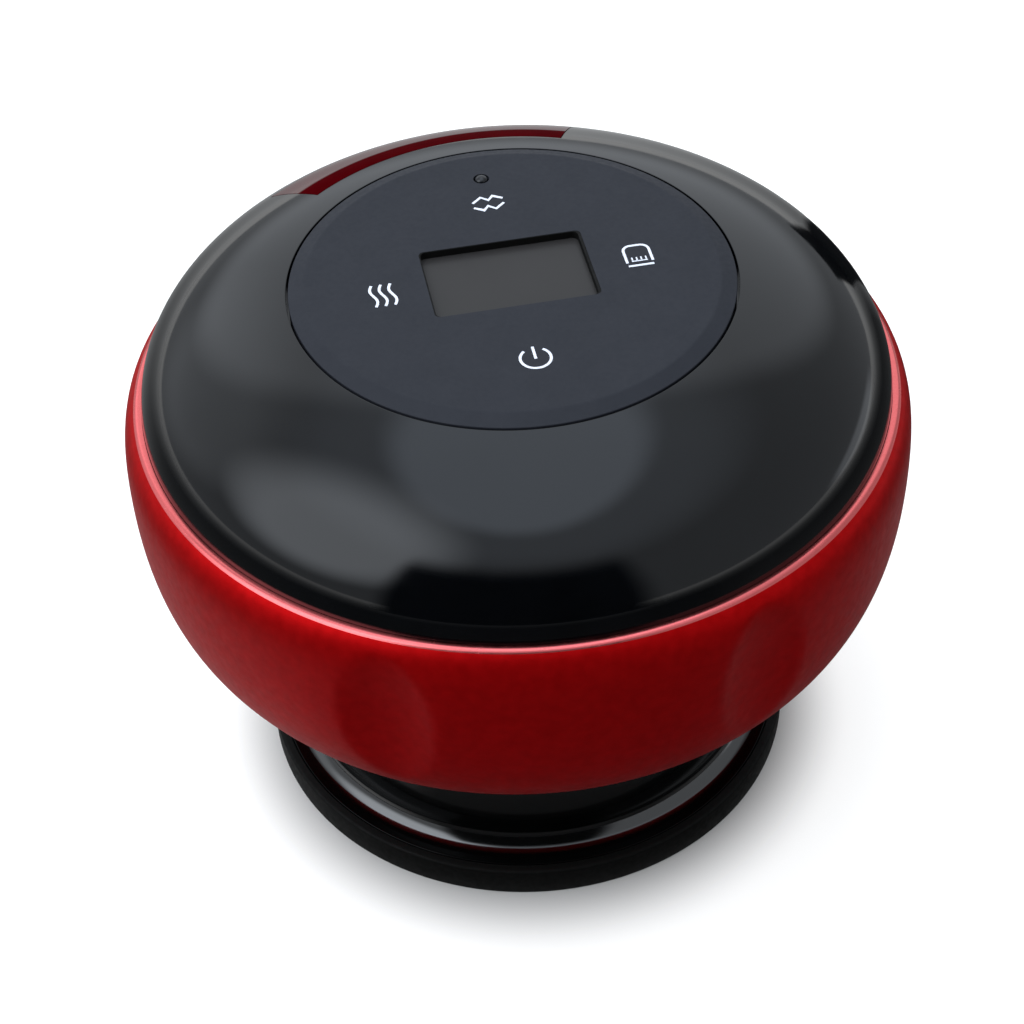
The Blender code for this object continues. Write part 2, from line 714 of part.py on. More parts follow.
def shoulder_curve():
    """Outside of the red shell from the groove under its bead down to the widest line."""
    top = (SHOULDER_RADIUS, SHOULDER_Z)
    return bezier(top, (BODY_RADIUS - SHOULDER_STEP / 2, top[1] - SHOULDER_REACH),
                  (BODY_RADIUS, BODY_WIDEST_Z + SHOULDER_REACH), (BODY_RADIUS, BODY_WIDEST_Z),
                  CORNER_STEPS)


def red_shell():
    bead = arc((SEAM_RADIUS + CLEAR / 2 + BEAD_WIDTH / 2, SEAM_Z - BEAD_WIDTH / 2),
               BEAD_WIDTH / 2, 180, 0, CORNER_STEPS)
    groove = [(BEAD_OUTER_RADIUS, SHOULDER_Z + BEAD_GROOVE_DEPTH / 2),
              (BEAD_OUTER_RADIUS + SHOULDER_STEP / 2, SHOULDER_Z)]
    inside = offset(bowl_curve(), SHELL_WALL)[:-1:2]
    inside.append((BOWL_FLOOR_RADIUS, FLOOR_TOP_Z))
    hole = NECK_RADIUS + CLEAR
    ledge_low = LEDGE_Z - LEDGE_HEIGHT
    rim = [(BODY_RADIUS - SHELL_WALL, ledge_low - LEDGE_RAMP), (LEDGE_INNER_RADIUS, ledge_low),
           (LEDGE_INNER_RADIUS, LEDGE_Z), (BEAD_INNER_RADIUS, LEDGE_Z)]
    outline = bead + groove + shoulder_curve()[:-1] + bowl_curve()
    outline += [(hole, BOWL_BOTTOM_Z), (hole, FLOOR_TOP_Z)] + inside[::-1] + rim
    shell = turned("red_shell", outline, red_paint(), BODY_STEPS)
    for turn in SCREW_TURNS:
        x, y = around(chassis_boss_place(), turn)
        foot = height_at(bowl_curve(), chassis_boss_place() + CHASSIS_BOSS_RADIUS) + CLEAR
        top = CHASSIS_Z - CLEAR
        add(shell, rod("boss", CHASSIS_BOSS_RADIUS, foot, top, red_paint(), place=(x, y, 0)))
        cut(shell, rod("hole", HOLE_RADIUS, top - SCREW_BITE - CLEAR, top + OVERRUN, red_paint(),
                       place=(x, y, 0)))
    for side in (-1, 1):
        cut(shell, dimple_cutter(side))
    slot = rounded_rectangle(PORT_WIDTH + 2 * PORT_MARGIN, PORT_HEIGHT + 2 * PORT_MARGIN,
                             PORT_HEIGHT / 2)
    cut(shell, prism("slot", slot, CHARGE_BOARD_BACK_Y, BODY_RADIUS + OVERRUN, red_paint(),
                     (0, 0, PORT_Z), "Y"))


def dimple_cutter(side):
    """A flat egg shape that takes a shallow dish out of the shell's outside."""
    half_width = DIMPLE_WIDTH / 2 * DIMPLE_BLANK_SHARE
    half_height = DIMPLE_HEIGHT / 2 * DIMPLE_BLANK_SHARE
    shape = bmesh.new()
    bmesh.ops.create_uvsphere(shape, u_segments=DISC_STEPS, v_segments=PIN_STEPS, radius=1)
    bmesh.ops.scale(shape, vec=(half_width, DIMPLE_BLANK_DEPTH, half_height), verts=shape.verts)
    turn = radians(side * DIMPLE_DEGREES)
    bmesh.ops.rotate(shape, matrix=Matrix.Rotation(turn, 3, "Z"), verts=shape.verts)
    reach = BODY_RADIUS + DIMPLE_BLANK_DEPTH - DIMPLE_DEPTH
    place = (reach * sin(turn), -reach * cos(turn), BODY_WIDEST_Z - DIMPLE_DROP)
    return add_object("dimple", shape, red_paint(), place)


def dome_curve():
    """Outside of the dome, from the panel's opening out to the seam."""
    slope = radians(DOME_TOP_SLOPE_DEGREES)
    reach = DOME_TOP_SHARE * (DOME_EDGE_RADIUS - PANEL_OPENING_RADIUS)
    return bezier((PANEL_OPENING_RADIUS, DOME_TOP_Z),
                  (PANEL_OPENING_RADIUS + reach * cos(slope), DOME_TOP_Z - reach * sin(slope)),
                  (DOME_EDGE_RADIUS, SEAM_Z + DOME_SIDE_SHARE * DOME_HEIGHT),
                  (DOME_EDGE_RADIUS, SEAM_Z), CURVE_STEPS)


def dome_stretch(inner, outer, depth):
    """The part of the dome's curve between two radii, sunk by a depth."""
    points = offset(dome_curve(), depth)
    kept = []
    for near, far in zip(points, points[1:]):
        for edge in (inner, outer):
            if near[0] < edge <= far[0]:
                share = (edge - near[0]) / (far[0] - near[0])
                kept.append((edge, near[1] + share * (far[1] - near[1])))
        if inner < far[0] < outer:
            kept.append(far)
    return sorted(kept)


def accent_outline(margin, depth, proud):
    low = dome_stretch(ACCENT_INNER_RADIUS - margin, ACCENT_OUTER_RADIUS + margin, depth)
    high = dome_stretch(ACCENT_INNER_RADIUS - margin, ACCENT_OUTER_RADIUS + margin, -proud)
    return low + high[::-1]


def accent_sector(margin):
    extra = degrees(margin / ACCENT_INNER_RADIUS)
    return 90 - ACCENT_RIGHT_DEGREES - extra, 90 + ACCENT_LEFT_DEGREES + extra


def dome_cover():
    under = [p for p in offset(dome_curve(), DOME_WALL)
             if p[1] < PANEL_SEAT_Z - PANEL_SEAT_THICKNESS and p[1] > SEAM_Z][::2]
    seat_inner = PANEL_OPENING_RADIUS - PANEL_SEAT_WIDTH
    seat_low = PANEL_SEAT_Z - PANEL_SEAT_THICKNESS
    rim_z = SEAM_Z - DOME_RIM_DROP
    snap_z = rim_z - SNAP_DROP
    skirt_low = rim_z - SKIRT_DEPTH
    skirt_inner = SKIRT_RADIUS - SKIRT_WALL
    outline = dome_curve() + [
        (DOME_EDGE_RADIUS, rim_z), (SKIRT_RADIUS, rim_z), (SKIRT_RADIUS, snap_z),
        (SKIRT_RADIUS + SNAP_PROUD, snap_z - SNAP_PROUD / 2),
        (SKIRT_RADIUS, snap_z - SNAP_HEIGHT), (SKIRT_RADIUS, skirt_low), (skirt_inner, skirt_low),
        (skirt_inner, rim_z)]
    outline += under[::-1]
    outline += [(under[0][0] - DOME_WALL / 2, seat_low), (seat_inner, seat_low),
                (seat_inner, PANEL_SEAT_Z), (PANEL_OPENING_RADIUS, PANEL_SEAT_Z)]
    dome = turned("dome_cover", outline, gloss_black(), BODY_STEPS)
    low = BOARD_TOP_Z + CLEAR
    for turn in SCREW_TURNS:
        x, y = around(BOSS_PLACE, turn)
        add(dome, boss("boss", x, y, low, seat_low + BOSS_BURIED, BOSS_RADIUS, gloss_black(), True))
    recess = accent_outline(CLEAR, ACCENT_THICKNESS + CLEAR, OVERRUN)
    cut(dome, turned("recess", recess, gloss_black(), CURVE_STEPS, sector=accent_sector(CLEAR)))


def rear_accent():
    outline = accent_outline(0, ACCENT_THICKNESS, 0)
    turned("rear_accent", outline, dark_red(), CURVE_STEPS, sector=accent_sector(0))


def touch_panel():
    outline = [(0, PANEL_TOP_Z), (PANEL_FLAT_RADIUS, PANEL_TOP_Z),
               (PANEL_RADIUS, PANEL_TOP_Z - PANEL_BAND_DROP), (PANEL_RADIUS, PANEL_BOTTOM_Z),
               (0, PANEL_BOTTOM_Z)]
    panel = turned("touch_panel", outline, slate(), BODY_STEPS)
    window = rounded_rectangle(WINDOW_WIDTH, WINDOW_HEIGHT, WINDOW_CORNER)
    cut(panel, prism("window", window, PANEL_BOTTOM_Z - OVERRUN, PANEL_TOP_Z + OVERRUN, slate()))
    margin = 2 * (LENS_MARGIN + CLEAR)
    rebate = rounded_rectangle(WINDOW_WIDTH + margin, WINDOW_HEIGHT + margin, WINDOW_CORNER)
    cut(panel, prism("rebate", rebate, PANEL_BOTTOM_Z - OVERRUN, PANEL_TOP_Z - WINDOW_DEPTH,
                     slate()))
    cut(panel, rod("dot", LIGHT_PIPE_RADIUS + CLEAR, PANEL_BOTTOM_Z - OVERRUN,
                   PANEL_TOP_Z + OVERRUN, slate(), place=(0, LIGHT_PIPE_PLACE, 0)))


def display():
    """The smoked lens under the window and the lit module under the lens."""
    top = PANEL_TOP_Z - WINDOW_DEPTH - CLEAR
    outline = rounded_rectangle(WINDOW_WIDTH + 2 * LENS_MARGIN, WINDOW_HEIGHT + 2 * LENS_MARGIN,
                                WINDOW_CORNER)
    prism("display_lens", outline, top - LENS_THICKNESS, top, smoked_window())
    half_x = WINDOW_WIDTH / 2 + DISPLAY_MARGIN
    half_y = WINDOW_HEIGHT / 2 + DISPLAY_MARGIN
    module_top = min(top - LENS_THICKNESS, PANEL_BOTTOM_Z) - CLEAR
    block("display_module", (-half_x, -half_y, BOARD_TOP_Z + CLEAR), (half_x, half_y, module_top),
          white_plastic())


def indicator_light_pipe():
    low = BOARD_TOP_Z + CLEAR
    top = PANEL_TOP_Z + LIGHT_PIPE_PROUD
    foot_top = PANEL_BOTTOM_Z - CLEAR
    outline = [(0, low), (LIGHT_PIPE_FOOT, low), (LIGHT_PIPE_FOOT, foot_top),
               (LIGHT_PIPE_RADIUS, foot_top), (LIGHT_PIPE_RADIUS, PANEL_TOP_Z)]
    outline += [(LIGHT_PIPE_RADIUS / 2, top - LIGHT_PIPE_PROUD / 4), (0, top)]
    turned("indicator_light_pipe", outline, black_plastic(), PIN_STEPS,
           (0, LIGHT_PIPE_PLACE, 0))


def touch_contacts():
    places = {"power": (0, -1), "heat": (-1, 0), "mode": (0, 1), "suction": (1, 0)}
    for name, (x, y) in places.items():
        rod("touch_contact_" + name, CONTACT_RADIUS, BOARD_TOP_Z + CLEAR, PANEL_BOTTOM_Z - CLEAR,
            soft_black(), place=(x * SYMBOL_PLACE, y * SYMBOL_PLACE, 0))


def main_board():
    board = rod("main_board", BOARD_RADIUS, BOARD_BOTTOM_Z, BOARD_TOP_Z, circuit_board(),
                RING_STEPS)
    low = BOARD_BOTTOM_Z - CHIP_DEPTH
    high = BOARD_BOTTOM_Z + CHIP_BURIED
    chips = ((0, CONTROLLER_PLACE, CONTROLLER_SIZE), (-DRIVER_PLACE, 0, DRIVER_SIZE),
             (DRIVER_PLACE, -DRIVER_SIZE, DRIVER_SIZE))
    for x, y, size in chips:
        half = size / 2
        add(board, block("chip", (x - half, y - half, low), (x + half, y + half, high),
                         circuit_board()))
    for index, turn in enumerate(SCREW_TURNS):
        x, y = around(BOSS_PLACE, turn)
        cut(board, rod("hole", HOLE_RADIUS, low, BOARD_TOP_Z + OVERRUN, circuit_board(),
                       place=(x, y, 0)))
        screw(f"board_screw_{index + 1}", x, y, BOARD_BOTTOM_Z - CLEAR, True,
              BOARD_THICKNESS + CLEAR + SCREW_BITE)


def pressure_sensor():
    """The sensor under the board; its nipple points down into a hose."""
    high = BOARD_BOTTOM_Z - CLEAR
    half = SENSOR_SIZE / 2
    low = high - SENSOR_HEIGHT
    body = block("pressure_sensor", (SENSOR_X - half, CUP_NIPPLE_Y - half, low),
                 (SENSOR_X + half, CUP_NIPPLE_Y + half, high), black_plastic())
    place = (SENSOR_X, CUP_NIPPLE_Y, 0)
    add(body, rod("nipple", NIPPLE_RADIUS, low - NIPPLE_LENGTH, high - CLEAR, black_plastic(),
                  place=place))
    cut(body, rod("bore", NIPPLE_BORE, low - NIPPLE_LENGTH - OVERRUN, low + CLEAR, black_plastic(),
                  place=place))


def cup():
    foot = arc((NECK_RADIUS + FLANGE_FILLET, FLANGE_TOP_Z + FLANGE_FILLET), FLANGE_FILLET,
               270, 180, CORNER_STEPS)
    outline = [(0, CEILING_Z), (SOCKET_RADIUS, CEILING_Z), (SOCKET_RADIUS, CEILING_Z - SOCKET_DEPTH),
               (SOCKET_RADIUS + SOCKET_WALL, CEILING_Z - SOCKET_DEPTH),
               (SOCKET_RADIUS + SOCKET_WALL, CEILING_Z), (NECK_INNER_RADIUS, CEILING_Z),
               (NECK_INNER_RADIUS, CUP_BOTTOM_Z), (FLANGE_RADIUS, CUP_BOTTOM_Z),
               (FLANGE_RADIUS, FLANGE_TOP_Z)]
    outline += foot + [(NECK_RADIUS, LIP_Z), (LIP_RADIUS, LIP_Z), (LIP_RADIUS, LIP_TOP_Z),
                       (NECK_INNER_RADIUS, LIP_TOP_Z), (NECK_INNER_RADIUS, CEILING_TOP_Z),
                       (0, CEILING_TOP_Z)]
    body = turned("cup", outline, gloss_black())
    low = PLATE_Z + PLATE_THICKNESS + CLEAR
    for turn in SCREW_TURNS:
        x, y = around(POST_PLACE, turn)
        add(body, boss("post", x, y, low, CEILING_Z + CLEAR, POST_RADIUS, gloss_black(), True))
    place = (0, CUP_NIPPLE_Y, 0)
    add(body, rod("nipple", NIPPLE_RADIUS, CEILING_Z + CLEAR, CEILING_TOP_Z + NIPPLE_LENGTH,
                  gloss_black(), place=place))
    cut(body, rod("bore", NIPPLE_BORE, CEILING_Z - OVERRUN,
                  CEILING_TOP_Z + NIPPLE_LENGTH + OVERRUN, gloss_black(), place=place))
    cut(body, rod("way", GROMMET_RADIUS + CLEAR, CEILING_Z - OVERRUN, CEILING_TOP_Z + OVERRUN,
                  gloss_black(), place=(*GROMMET_PLACE, 0)))


def mouth_ring():
    """The soft ring that wraps the foot's edge and meets the skin."""
    wall = FLANGE_RADIUS + CLEAR
    top = CUP_BOTTOM_Z - CLEAR
    outline = [(MOUTH_INNER_RADIUS, top), (MOUTH_INNER_RADIUS, MOUTH_ROUNDING),
               (MOUTH_INNER_RADIUS + MOUTH_ROUNDING, 0), (MOUTH_RADIUS - MOUTH_ROUNDING, 0),
               (MOUTH_RADIUS, MOUTH_ROUNDING), (MOUTH_RADIUS, FLANGE_TOP_Z - MOUTH_ROUNDING),
               (MOUTH_RADIUS - MOUTH_ROUNDING, FLANGE_TOP_Z), (wall, FLANGE_TOP_Z), (wall, top)]
    turned("mouth_ring", outline, soft_black())


def cup_gasket():
    inner = LIP_RADIUS - GASKET_WIDTH
    outline = [(inner, GASKET_Z), (LIP_RADIUS, GASKET_Z), (LIP_RADIUS, GASKET_Z + GASKET_HEIGHT),
               (inner, GASKET_Z + GASKET_HEIGHT)]
    turned("cup_gasket", outline, soft_black(), DISC_STEPS)


def cable_grommet():
    top = CEILING_TOP_Z + CLEAR
    outline = [(CABLE_RADIUS + CLEAR, CEILING_Z), (GROMMET_RADIUS, CEILING_Z), (GROMMET_RADIUS, top),
               (GROMMET_FLANGE, top), (GROMMET_FLANGE, top + GROMMET_FLANGE_HEIGHT),
               (CABLE_RADIUS + CLEAR, top + GROMMET_FLANGE_HEIGHT)]
    turned("cable_grommet", outline, soft_black(), PIN_STEPS, (*GROMMET_PLACE, 0))


def cup_ceiling():
    """The heated plate, the lights that show through it and their board."""
    top = PLATE_Z + PLATE_THICKNESS
    inner = SOCKET_RADIUS + SOCKET_WALL + CLEAR
    outer = NECK_INNER_RADIUS - CLEAR
    plate = turned("heater_plate", [(inner, PLATE_Z), (outer, PLATE_Z), (outer, top), (inner, top)],
                   aluminium())
    light_top = RING_Z + RING_THICKNESS
    light = turned("light_ring", [(RING_INNER_RADIUS, RING_Z), (RING_OUTER_RADIUS, RING_Z),
                                  (RING_OUTER_RADIUS, light_top), (RING_INNER_RADIUS, light_top)],
                   red_light(), DISC_STEPS)
    tip = PLATE_Z - LIGHT_PROUD
    for index in range(LIGHT_COUNT):
        x, y = around(LIGHT_PLACE, 360 * (index + 0.5) / LIGHT_COUNT)
        cut(plate, rod("hole", LIGHT_RADIUS + CLEAR, PLATE_Z - OVERRUN, top + OVERRUN, aluminium(),
                       place=(x, y, 0)))
        bulb = [(0, RING_Z + CLEAR), (LIGHT_RADIUS, RING_Z + CLEAR), (LIGHT_RADIUS, PLATE_Z),
                (LIGHT_RADIUS / 2, tip + LIGHT_PROUD / 4), (0, tip)]
        add(light, turned("bulb", bulb, red_light(), PIN_STEPS, (x, y, 0)))
    for index, turn in enumerate(SCREW_TURNS):
        x, y = around(POST_PLACE, turn)
        cut(plate, rod("hole", HOLE_RADIUS, PLATE_Z - OVERRUN, top + OVERRUN, aluminium(),
                       place=(x, y, 0)))
        screw(f"heater_screw_{index + 1}", x, y, PLATE_Z - CLEAR, True,
              PLATE_THICKNESS + CLEAR + SCREW_BITE)
    board_top = LIGHT_BOARD_Z + LIGHT_BOARD_THICKNESS
    turned("led_ring_board", [(RING_INNER_RADIUS, LIGHT_BOARD_Z), (RING_OUTER_RADIUS, LIGHT_BOARD_Z),
                              (RING_OUTER_RADIUS, board_top), (RING_INNER_RADIUS, board_top)],
           circuit_board(), DISC_STEPS)


def filter_parts():
    """The sponge in its socket and the slotted cap that holds it there."""
    flange_top = CEILING_Z - SOCKET_DEPTH - CLEAR
    collar = SOCKET_RADIUS - CLEAR
    collar_top = flange_top + CAP_COLLAR_HEIGHT
    low = flange_top - CAP_THICKNESS
    floor = flange_top - CAP_THICKNESS / 2
    outline = [(0, low), (CAP_RADIUS - CAP_COLLAR_WALL, low), (CAP_RADIUS, floor),
               (CAP_RADIUS, flange_top), (collar, flange_top), (collar, collar_top),
               (collar - CAP_COLLAR_WALL, collar_top), (collar - CAP_COLLAR_WALL, floor), (0, floor)]
    shifted = [(radius, height - low) for radius, height in outline]
    cap = turned("filter_cap", shifted, black_plastic(), DISC_STEPS, (0, 0, low))
    for index in range(CAP_HOLE_COUNT):
        x, y = around(CAP_HOLE_PLACE, 360 * index / CAP_HOLE_COUNT)
        cut(cap, rod("hole", CAP_HOLE_RADIUS, low - OVERRUN, flange_top, black_plastic(),
                     place=(x, y, 0)))
    rod("filter_sponge", collar, collar_top + CLEAR, CEILING_Z - CLEAR, sponge(), DISC_STEPS)


def chassis():
    inner = LIP_RADIUS - GASKET_WIDTH
    outline = [(0, CHASSIS_Z), (inner, CHASSIS_Z), (inner, SKIRT_BOTTOM_Z),
               (LIP_RADIUS, SKIRT_BOTTOM_Z), (LIP_RADIUS, CHASSIS_Z), (chassis_radius(), CHASSIS_Z),
               (chassis_radius(), CHASSIS_TOP_Z), (0, CHASSIS_TOP_Z)]
    plate = turned("chassis", outline, grey_plastic())
    saddle_x = STRAP_X - SADDLE_LENGTH / 2
    add(plate, block("saddle", (saddle_x, PUMP_Y - SADDLE_WIDTH / 2, CHASSIS_Z + CLEAR),
                     (saddle_x + SADDLE_LENGTH, PUMP_Y + SADDLE_WIDTH / 2,
                      CHASSIS_TOP_Z + SADDLE_HEIGHT), grey_plastic()))
    cut(plate, rod("motor_bed", MOTOR_RADIUS + CLEAR, saddle_x - OVERRUN,
                   saddle_x + SADDLE_LENGTH + OVERRUN, grey_plastic(), DISC_STEPS,
                   (0, PUMP_Y, PUMP_Z), "X"))
    case_pad = (CASE_X + CASE_WALL, PUMP_Y - CASE_WIDTH / 4, CHASSIS_Z + CLEAR)
    add(plate, block("case_pad", case_pad, (CASE_X + CASE_LENGTH - CASE_WALL,
                                           PUMP_Y + CASE_WIDTH / 4, CASE_BOTTOM_Z - CLEAR),
                     grey_plastic()))
    for x, y, radius in ((0, CUP_NIPPLE_Y, CHASSIS_HOLE_RADIUS),
                         (*GROMMET_PLACE, GROMMET_RADIUS)):
        cut(plate, rod("way", radius, SKIRT_BOTTOM_Z - OVERRUN, CHASSIS_TOP_Z + OVERRUN,
                       grey_plastic(), DISC_STEPS, (x, y, 0)))
    for index, turn in enumerate(SCREW_TURNS):
        x, y = around(chassis_boss_place(), turn)
        cut(plate, rod("hole", HOLE_RADIUS, CHASSIS_Z - OVERRUN, CHASSIS_TOP_Z + OVERRUN,
                       grey_plastic(), place=(x, y, 0)))
        screw(f"chassis_screw_{index + 1}", x, y, DECK_Z, False,
              CHASSIS_THICKNESS + CLEAR + SCREW_BITE)
    post_x, post_y = charge_post_place()
    for side in (-1, 1):
        add(plate, boss("post", side * post_x, post_y, CHASSIS_Z + CLEAR,
                        charge_board_z() - CLEAR, CHARGE_POST_RADIUS, grey_plastic(), False))
    for x, y in strap_screw_places():
        cut(plate, rod("hole", HOLE_RADIUS, CHASSIS_Z - OVERRUN, CHASSIS_TOP_Z + OVERRUN,
                       grey_plastic(), place=(x, y, 0)))


def motor_and_strap():
    """The motor can lying along X and the strap that holds it in its saddle."""
    back = MOTOR_FRONT_X - MOTOR_LENGTH
    bore = SHAFT_RADIUS + CLEAR
    outline = [(0, back), (MOTOR_NOSE_RADIUS, back), (MOTOR_RADIUS - MOTOR_EDGE, back),
               (MOTOR_RADIUS, back + MOTOR_EDGE), (MOTOR_RADIUS, MOTOR_FRONT_X - MOTOR_EDGE),
               (MOTOR_RADIUS - MOTOR_EDGE, MOTOR_FRONT_X), (MOTOR_NOSE_RADIUS, MOTOR_FRONT_X),
               (MOTOR_NOSE_RADIUS, MOTOR_FRONT_X + MOTOR_NOSE_LENGTH),
               (bore, MOTOR_FRONT_X + MOTOR_NOSE_LENGTH),
               (bore, MOTOR_FRONT_X - SHAFT_BURIED - CLEAR), (0, MOTOR_FRONT_X - SHAFT_BURIED - CLEAR)]
    turned("pump_motor", outline, steel(), DISC_STEPS, (0, PUMP_Y, PUMP_Z), "X")
    inner = MOTOR_RADIUS + CLEAR
    outer = inner + STRAP_THICKNESS
    foot_low = DECK_Z - PUMP_Z
    foot_high = foot_low + STRAP_THICKNESS
    over = arc((0, 0), outer, 0, 180, PIN_STEPS)
    under = arc((0, 0), inner, 180, 0, PIN_STEPS)
    outline = [(outer + STRAP_FOOT, foot_low), (outer + STRAP_FOOT, foot_high),
               (outer, foot_high)] + over
    outline += [(-outer, foot_high), (-outer - STRAP_FOOT, foot_high),
                (-outer - STRAP_FOOT, foot_low), (-inner, foot_low)] + under + [(inner, foot_low)]
    strap = prism("motor_clamp", outline, STRAP_X - STRAP_WIDTH / 2, STRAP_X + STRAP_WIDTH / 2,
                  steel(), (0, PUMP_Y, PUMP_Z), "X")
    for index, (x, y) in enumerate(strap_screw_places()):
        cut(strap, rod("hole", HOLE_RADIUS, DECK_Z - OVERRUN, DECK_Z + STRAP_THICKNESS + OVERRUN,
                       steel(), place=(x, y, 0)))
        screw(f"clamp_screw_{index + 1}", x, y, DECK_Z + STRAP_THICKNESS + CLEAR, False,
              STRAP_THICKNESS + CLEAR + CHASSIS_THICKNESS)


def strap_screw_places():
    reach = MOTOR_RADIUS + CLEAR + STRAP_THICKNESS + STRAP_FOOT / 2
    return (STRAP_X, PUMP_Y - reach), (STRAP_X, PUMP_Y + reach)


def pump_case():
    """The crankcase, open at its right-hand end and under the diaphragm."""
    half = CASE_WIDTH / 2
    case = block("pump_crankcase", (CASE_X, PUMP_Y - half, CASE_BOTTOM_Z),
                 (CASE_X + CASE_LENGTH, PUMP_Y + half, CASE_TOP_Z), black_plastic())
    room = half - CASE_WALL
    cut(case, block("room", (CASE_X + CASE_WALL, PUMP_Y - room, CASE_BOTTOM_Z + CASE_WALL),
                    (CASE_X + CASE_LENGTH + OVERRUN, PUMP_Y + room, CASE_TOP_Z + OVERRUN),
                    black_plastic()))
    cut(case, rod("shaft_way", SHAFT_RADIUS + CLEAR, CASE_X - OVERRUN, CASE_X + CASE_WALL + OVERRUN,
                  black_plastic(), place=(0, PUMP_Y, PUMP_Z), lie="X"))


def crank_and_rod():
    """The crank turns on the motor's axis; the rod hangs on its pin, above the axis at rest."""
    pin_start = CRANK_THICKNESS
    pin_end = pin_start + CRANK_PIN_LENGTH
    shaft_start = MOTOR_FRONT_X - SHAFT_BURIED - CRANK_X
    place = (CRANK_X, PUMP_Y, PUMP_Z)
    crank = turned("pump_crank", [(0, shaft_start), (SHAFT_RADIUS, shaft_start), (SHAFT_RADIUS, 0),
                                  (CRANK_RADIUS, 0), (CRANK_RADIUS, CRANK_THICKNESS),
                                  (0, CRANK_THICKNESS)], steel(), DISC_STEPS, place, "X")
    add(crank, rod("pin", CRANK_PIN_RADIUS, CRANK_THICKNESS / 2, pin_end, steel(),
                   place=(CRANK_X, PUMP_Y, PUMP_Z + CRANK_THROW), lie="X"))
    pin_z = PUMP_Z + CRANK_THROW
    bore = CRANK_PIN_RADIUS + CLEAR
    start = pin_start + CLEAR
    end = start + ROD_THICKNESS
    pin_place = (CRANK_X, PUMP_Y, pin_z)
    head_high = CASE_TOP_Z - pin_z
    head_low = head_high - ROD_HEAD_HEIGHT
    eye = rod("connecting_rod", ROD_EYE_RADIUS, start, end, white_plastic(), DISC_STEPS,
              pin_place, "X")
    half = ROD_WIDTH / 2
    shank = [(-half, bore), (half, bore), (half, head_low + CLEAR), (-half, head_low + CLEAR)]
    add(eye, prism("shank", shank, start + CLEAR, end - CLEAR, white_plastic(), pin_place, "X"))
    middle = (CRANK_X + (start + end) / 2, PUMP_Y, pin_z)
    add(eye, rod("head", ROD_HEAD_RADIUS, head_low, head_high, white_plastic(), DISC_STEPS, middle))
    cut(eye, rod("bore", bore, start - OVERRUN, end + OVERRUN, white_plastic(), PIN_STEPS,
                 pin_place, "X"))


def pump_top():
    """The diaphragm and the valve head above it, with one nipple in and one out."""
    half = CASE_WIDTH / 2
    middle_x = CASE_X + CASE_LENGTH / 2
    low = CASE_TOP_Z + CLEAR
    outline = rounded_rectangle(CASE_LENGTH, CASE_WIDTH, HEAD_CORNER)
    prism("pump_diaphragm", outline, low, low + DIAPHRAGM_THICKNESS, soft_black(),
          (middle_x, PUMP_Y, 0))
    head = prism("pump_head", outline, HEAD_Z, HEAD_TOP_Z, black_plastic(), (middle_x, PUMP_Y, 0))
    front = -NIPPLE_LENGTH
    inlet = (INLET_X, CASE_FRONT_Y, INLET_Z)
    add(head, rod("inlet", NIPPLE_RADIUS, front, CASE_WALL, black_plastic(), place=inlet, lie="Y"))
    cut(head, rod("inlet_bore", NIPPLE_BORE, front - OVERRUN, CASE_WALL, black_plastic(),
                  place=inlet, lie="Y"))
    outlet = (CASE_X + CASE_LENGTH, PUMP_Y + half / 2, INLET_Z)
    add(head, rod("outlet", NIPPLE_RADIUS, -CASE_WALL, NIPPLE_LENGTH, black_plastic(),
                  place=outlet, lie="X"))
    cut(head, rod("outlet_bore", NIPPLE_BORE, -CASE_WALL, NIPPLE_LENGTH + OVERRUN, black_plastic(),
                  place=outlet, lie="X"))


def battery():
    half = CELL_LENGTH / 2
    tip = half + CELL_TIP_LENGTH
    axis_z = DECK_Z + CRADLE_FLOOR + CLEAR + CELL_RADIUS
    room_end = CRADLE_X - CRADLE_END
    outline = [(0, -half), (CELL_RADIUS - CELL_EDGE, -half), (CELL_RADIUS, CELL_EDGE - half),
               (CELL_RADIUS, half - CELL_EDGE), (CELL_RADIUS - CELL_EDGE, half),
               (CELL_TIP_RADIUS, half), (CELL_TIP_RADIUS, tip), (0, tip)]
    turned("battery_cell", outline, cell_wrap(), DISC_STEPS, (0, CELL_Y, axis_z), "X")
    side = CRADLE_WIDTH / 2
    cradle = block("battery_cradle", (-CRADLE_X, CELL_Y - side, DECK_Z),
                   (CRADLE_X, CELL_Y + side, DECK_Z + CRADLE_HEIGHT), black_plastic())
    cut(cradle, rod("cell_room", CELL_RADIUS + CLEAR, -half - CLEAR, room_end, black_plastic(),
                    DISC_STEPS, (0, CELL_Y, axis_z), "X"))


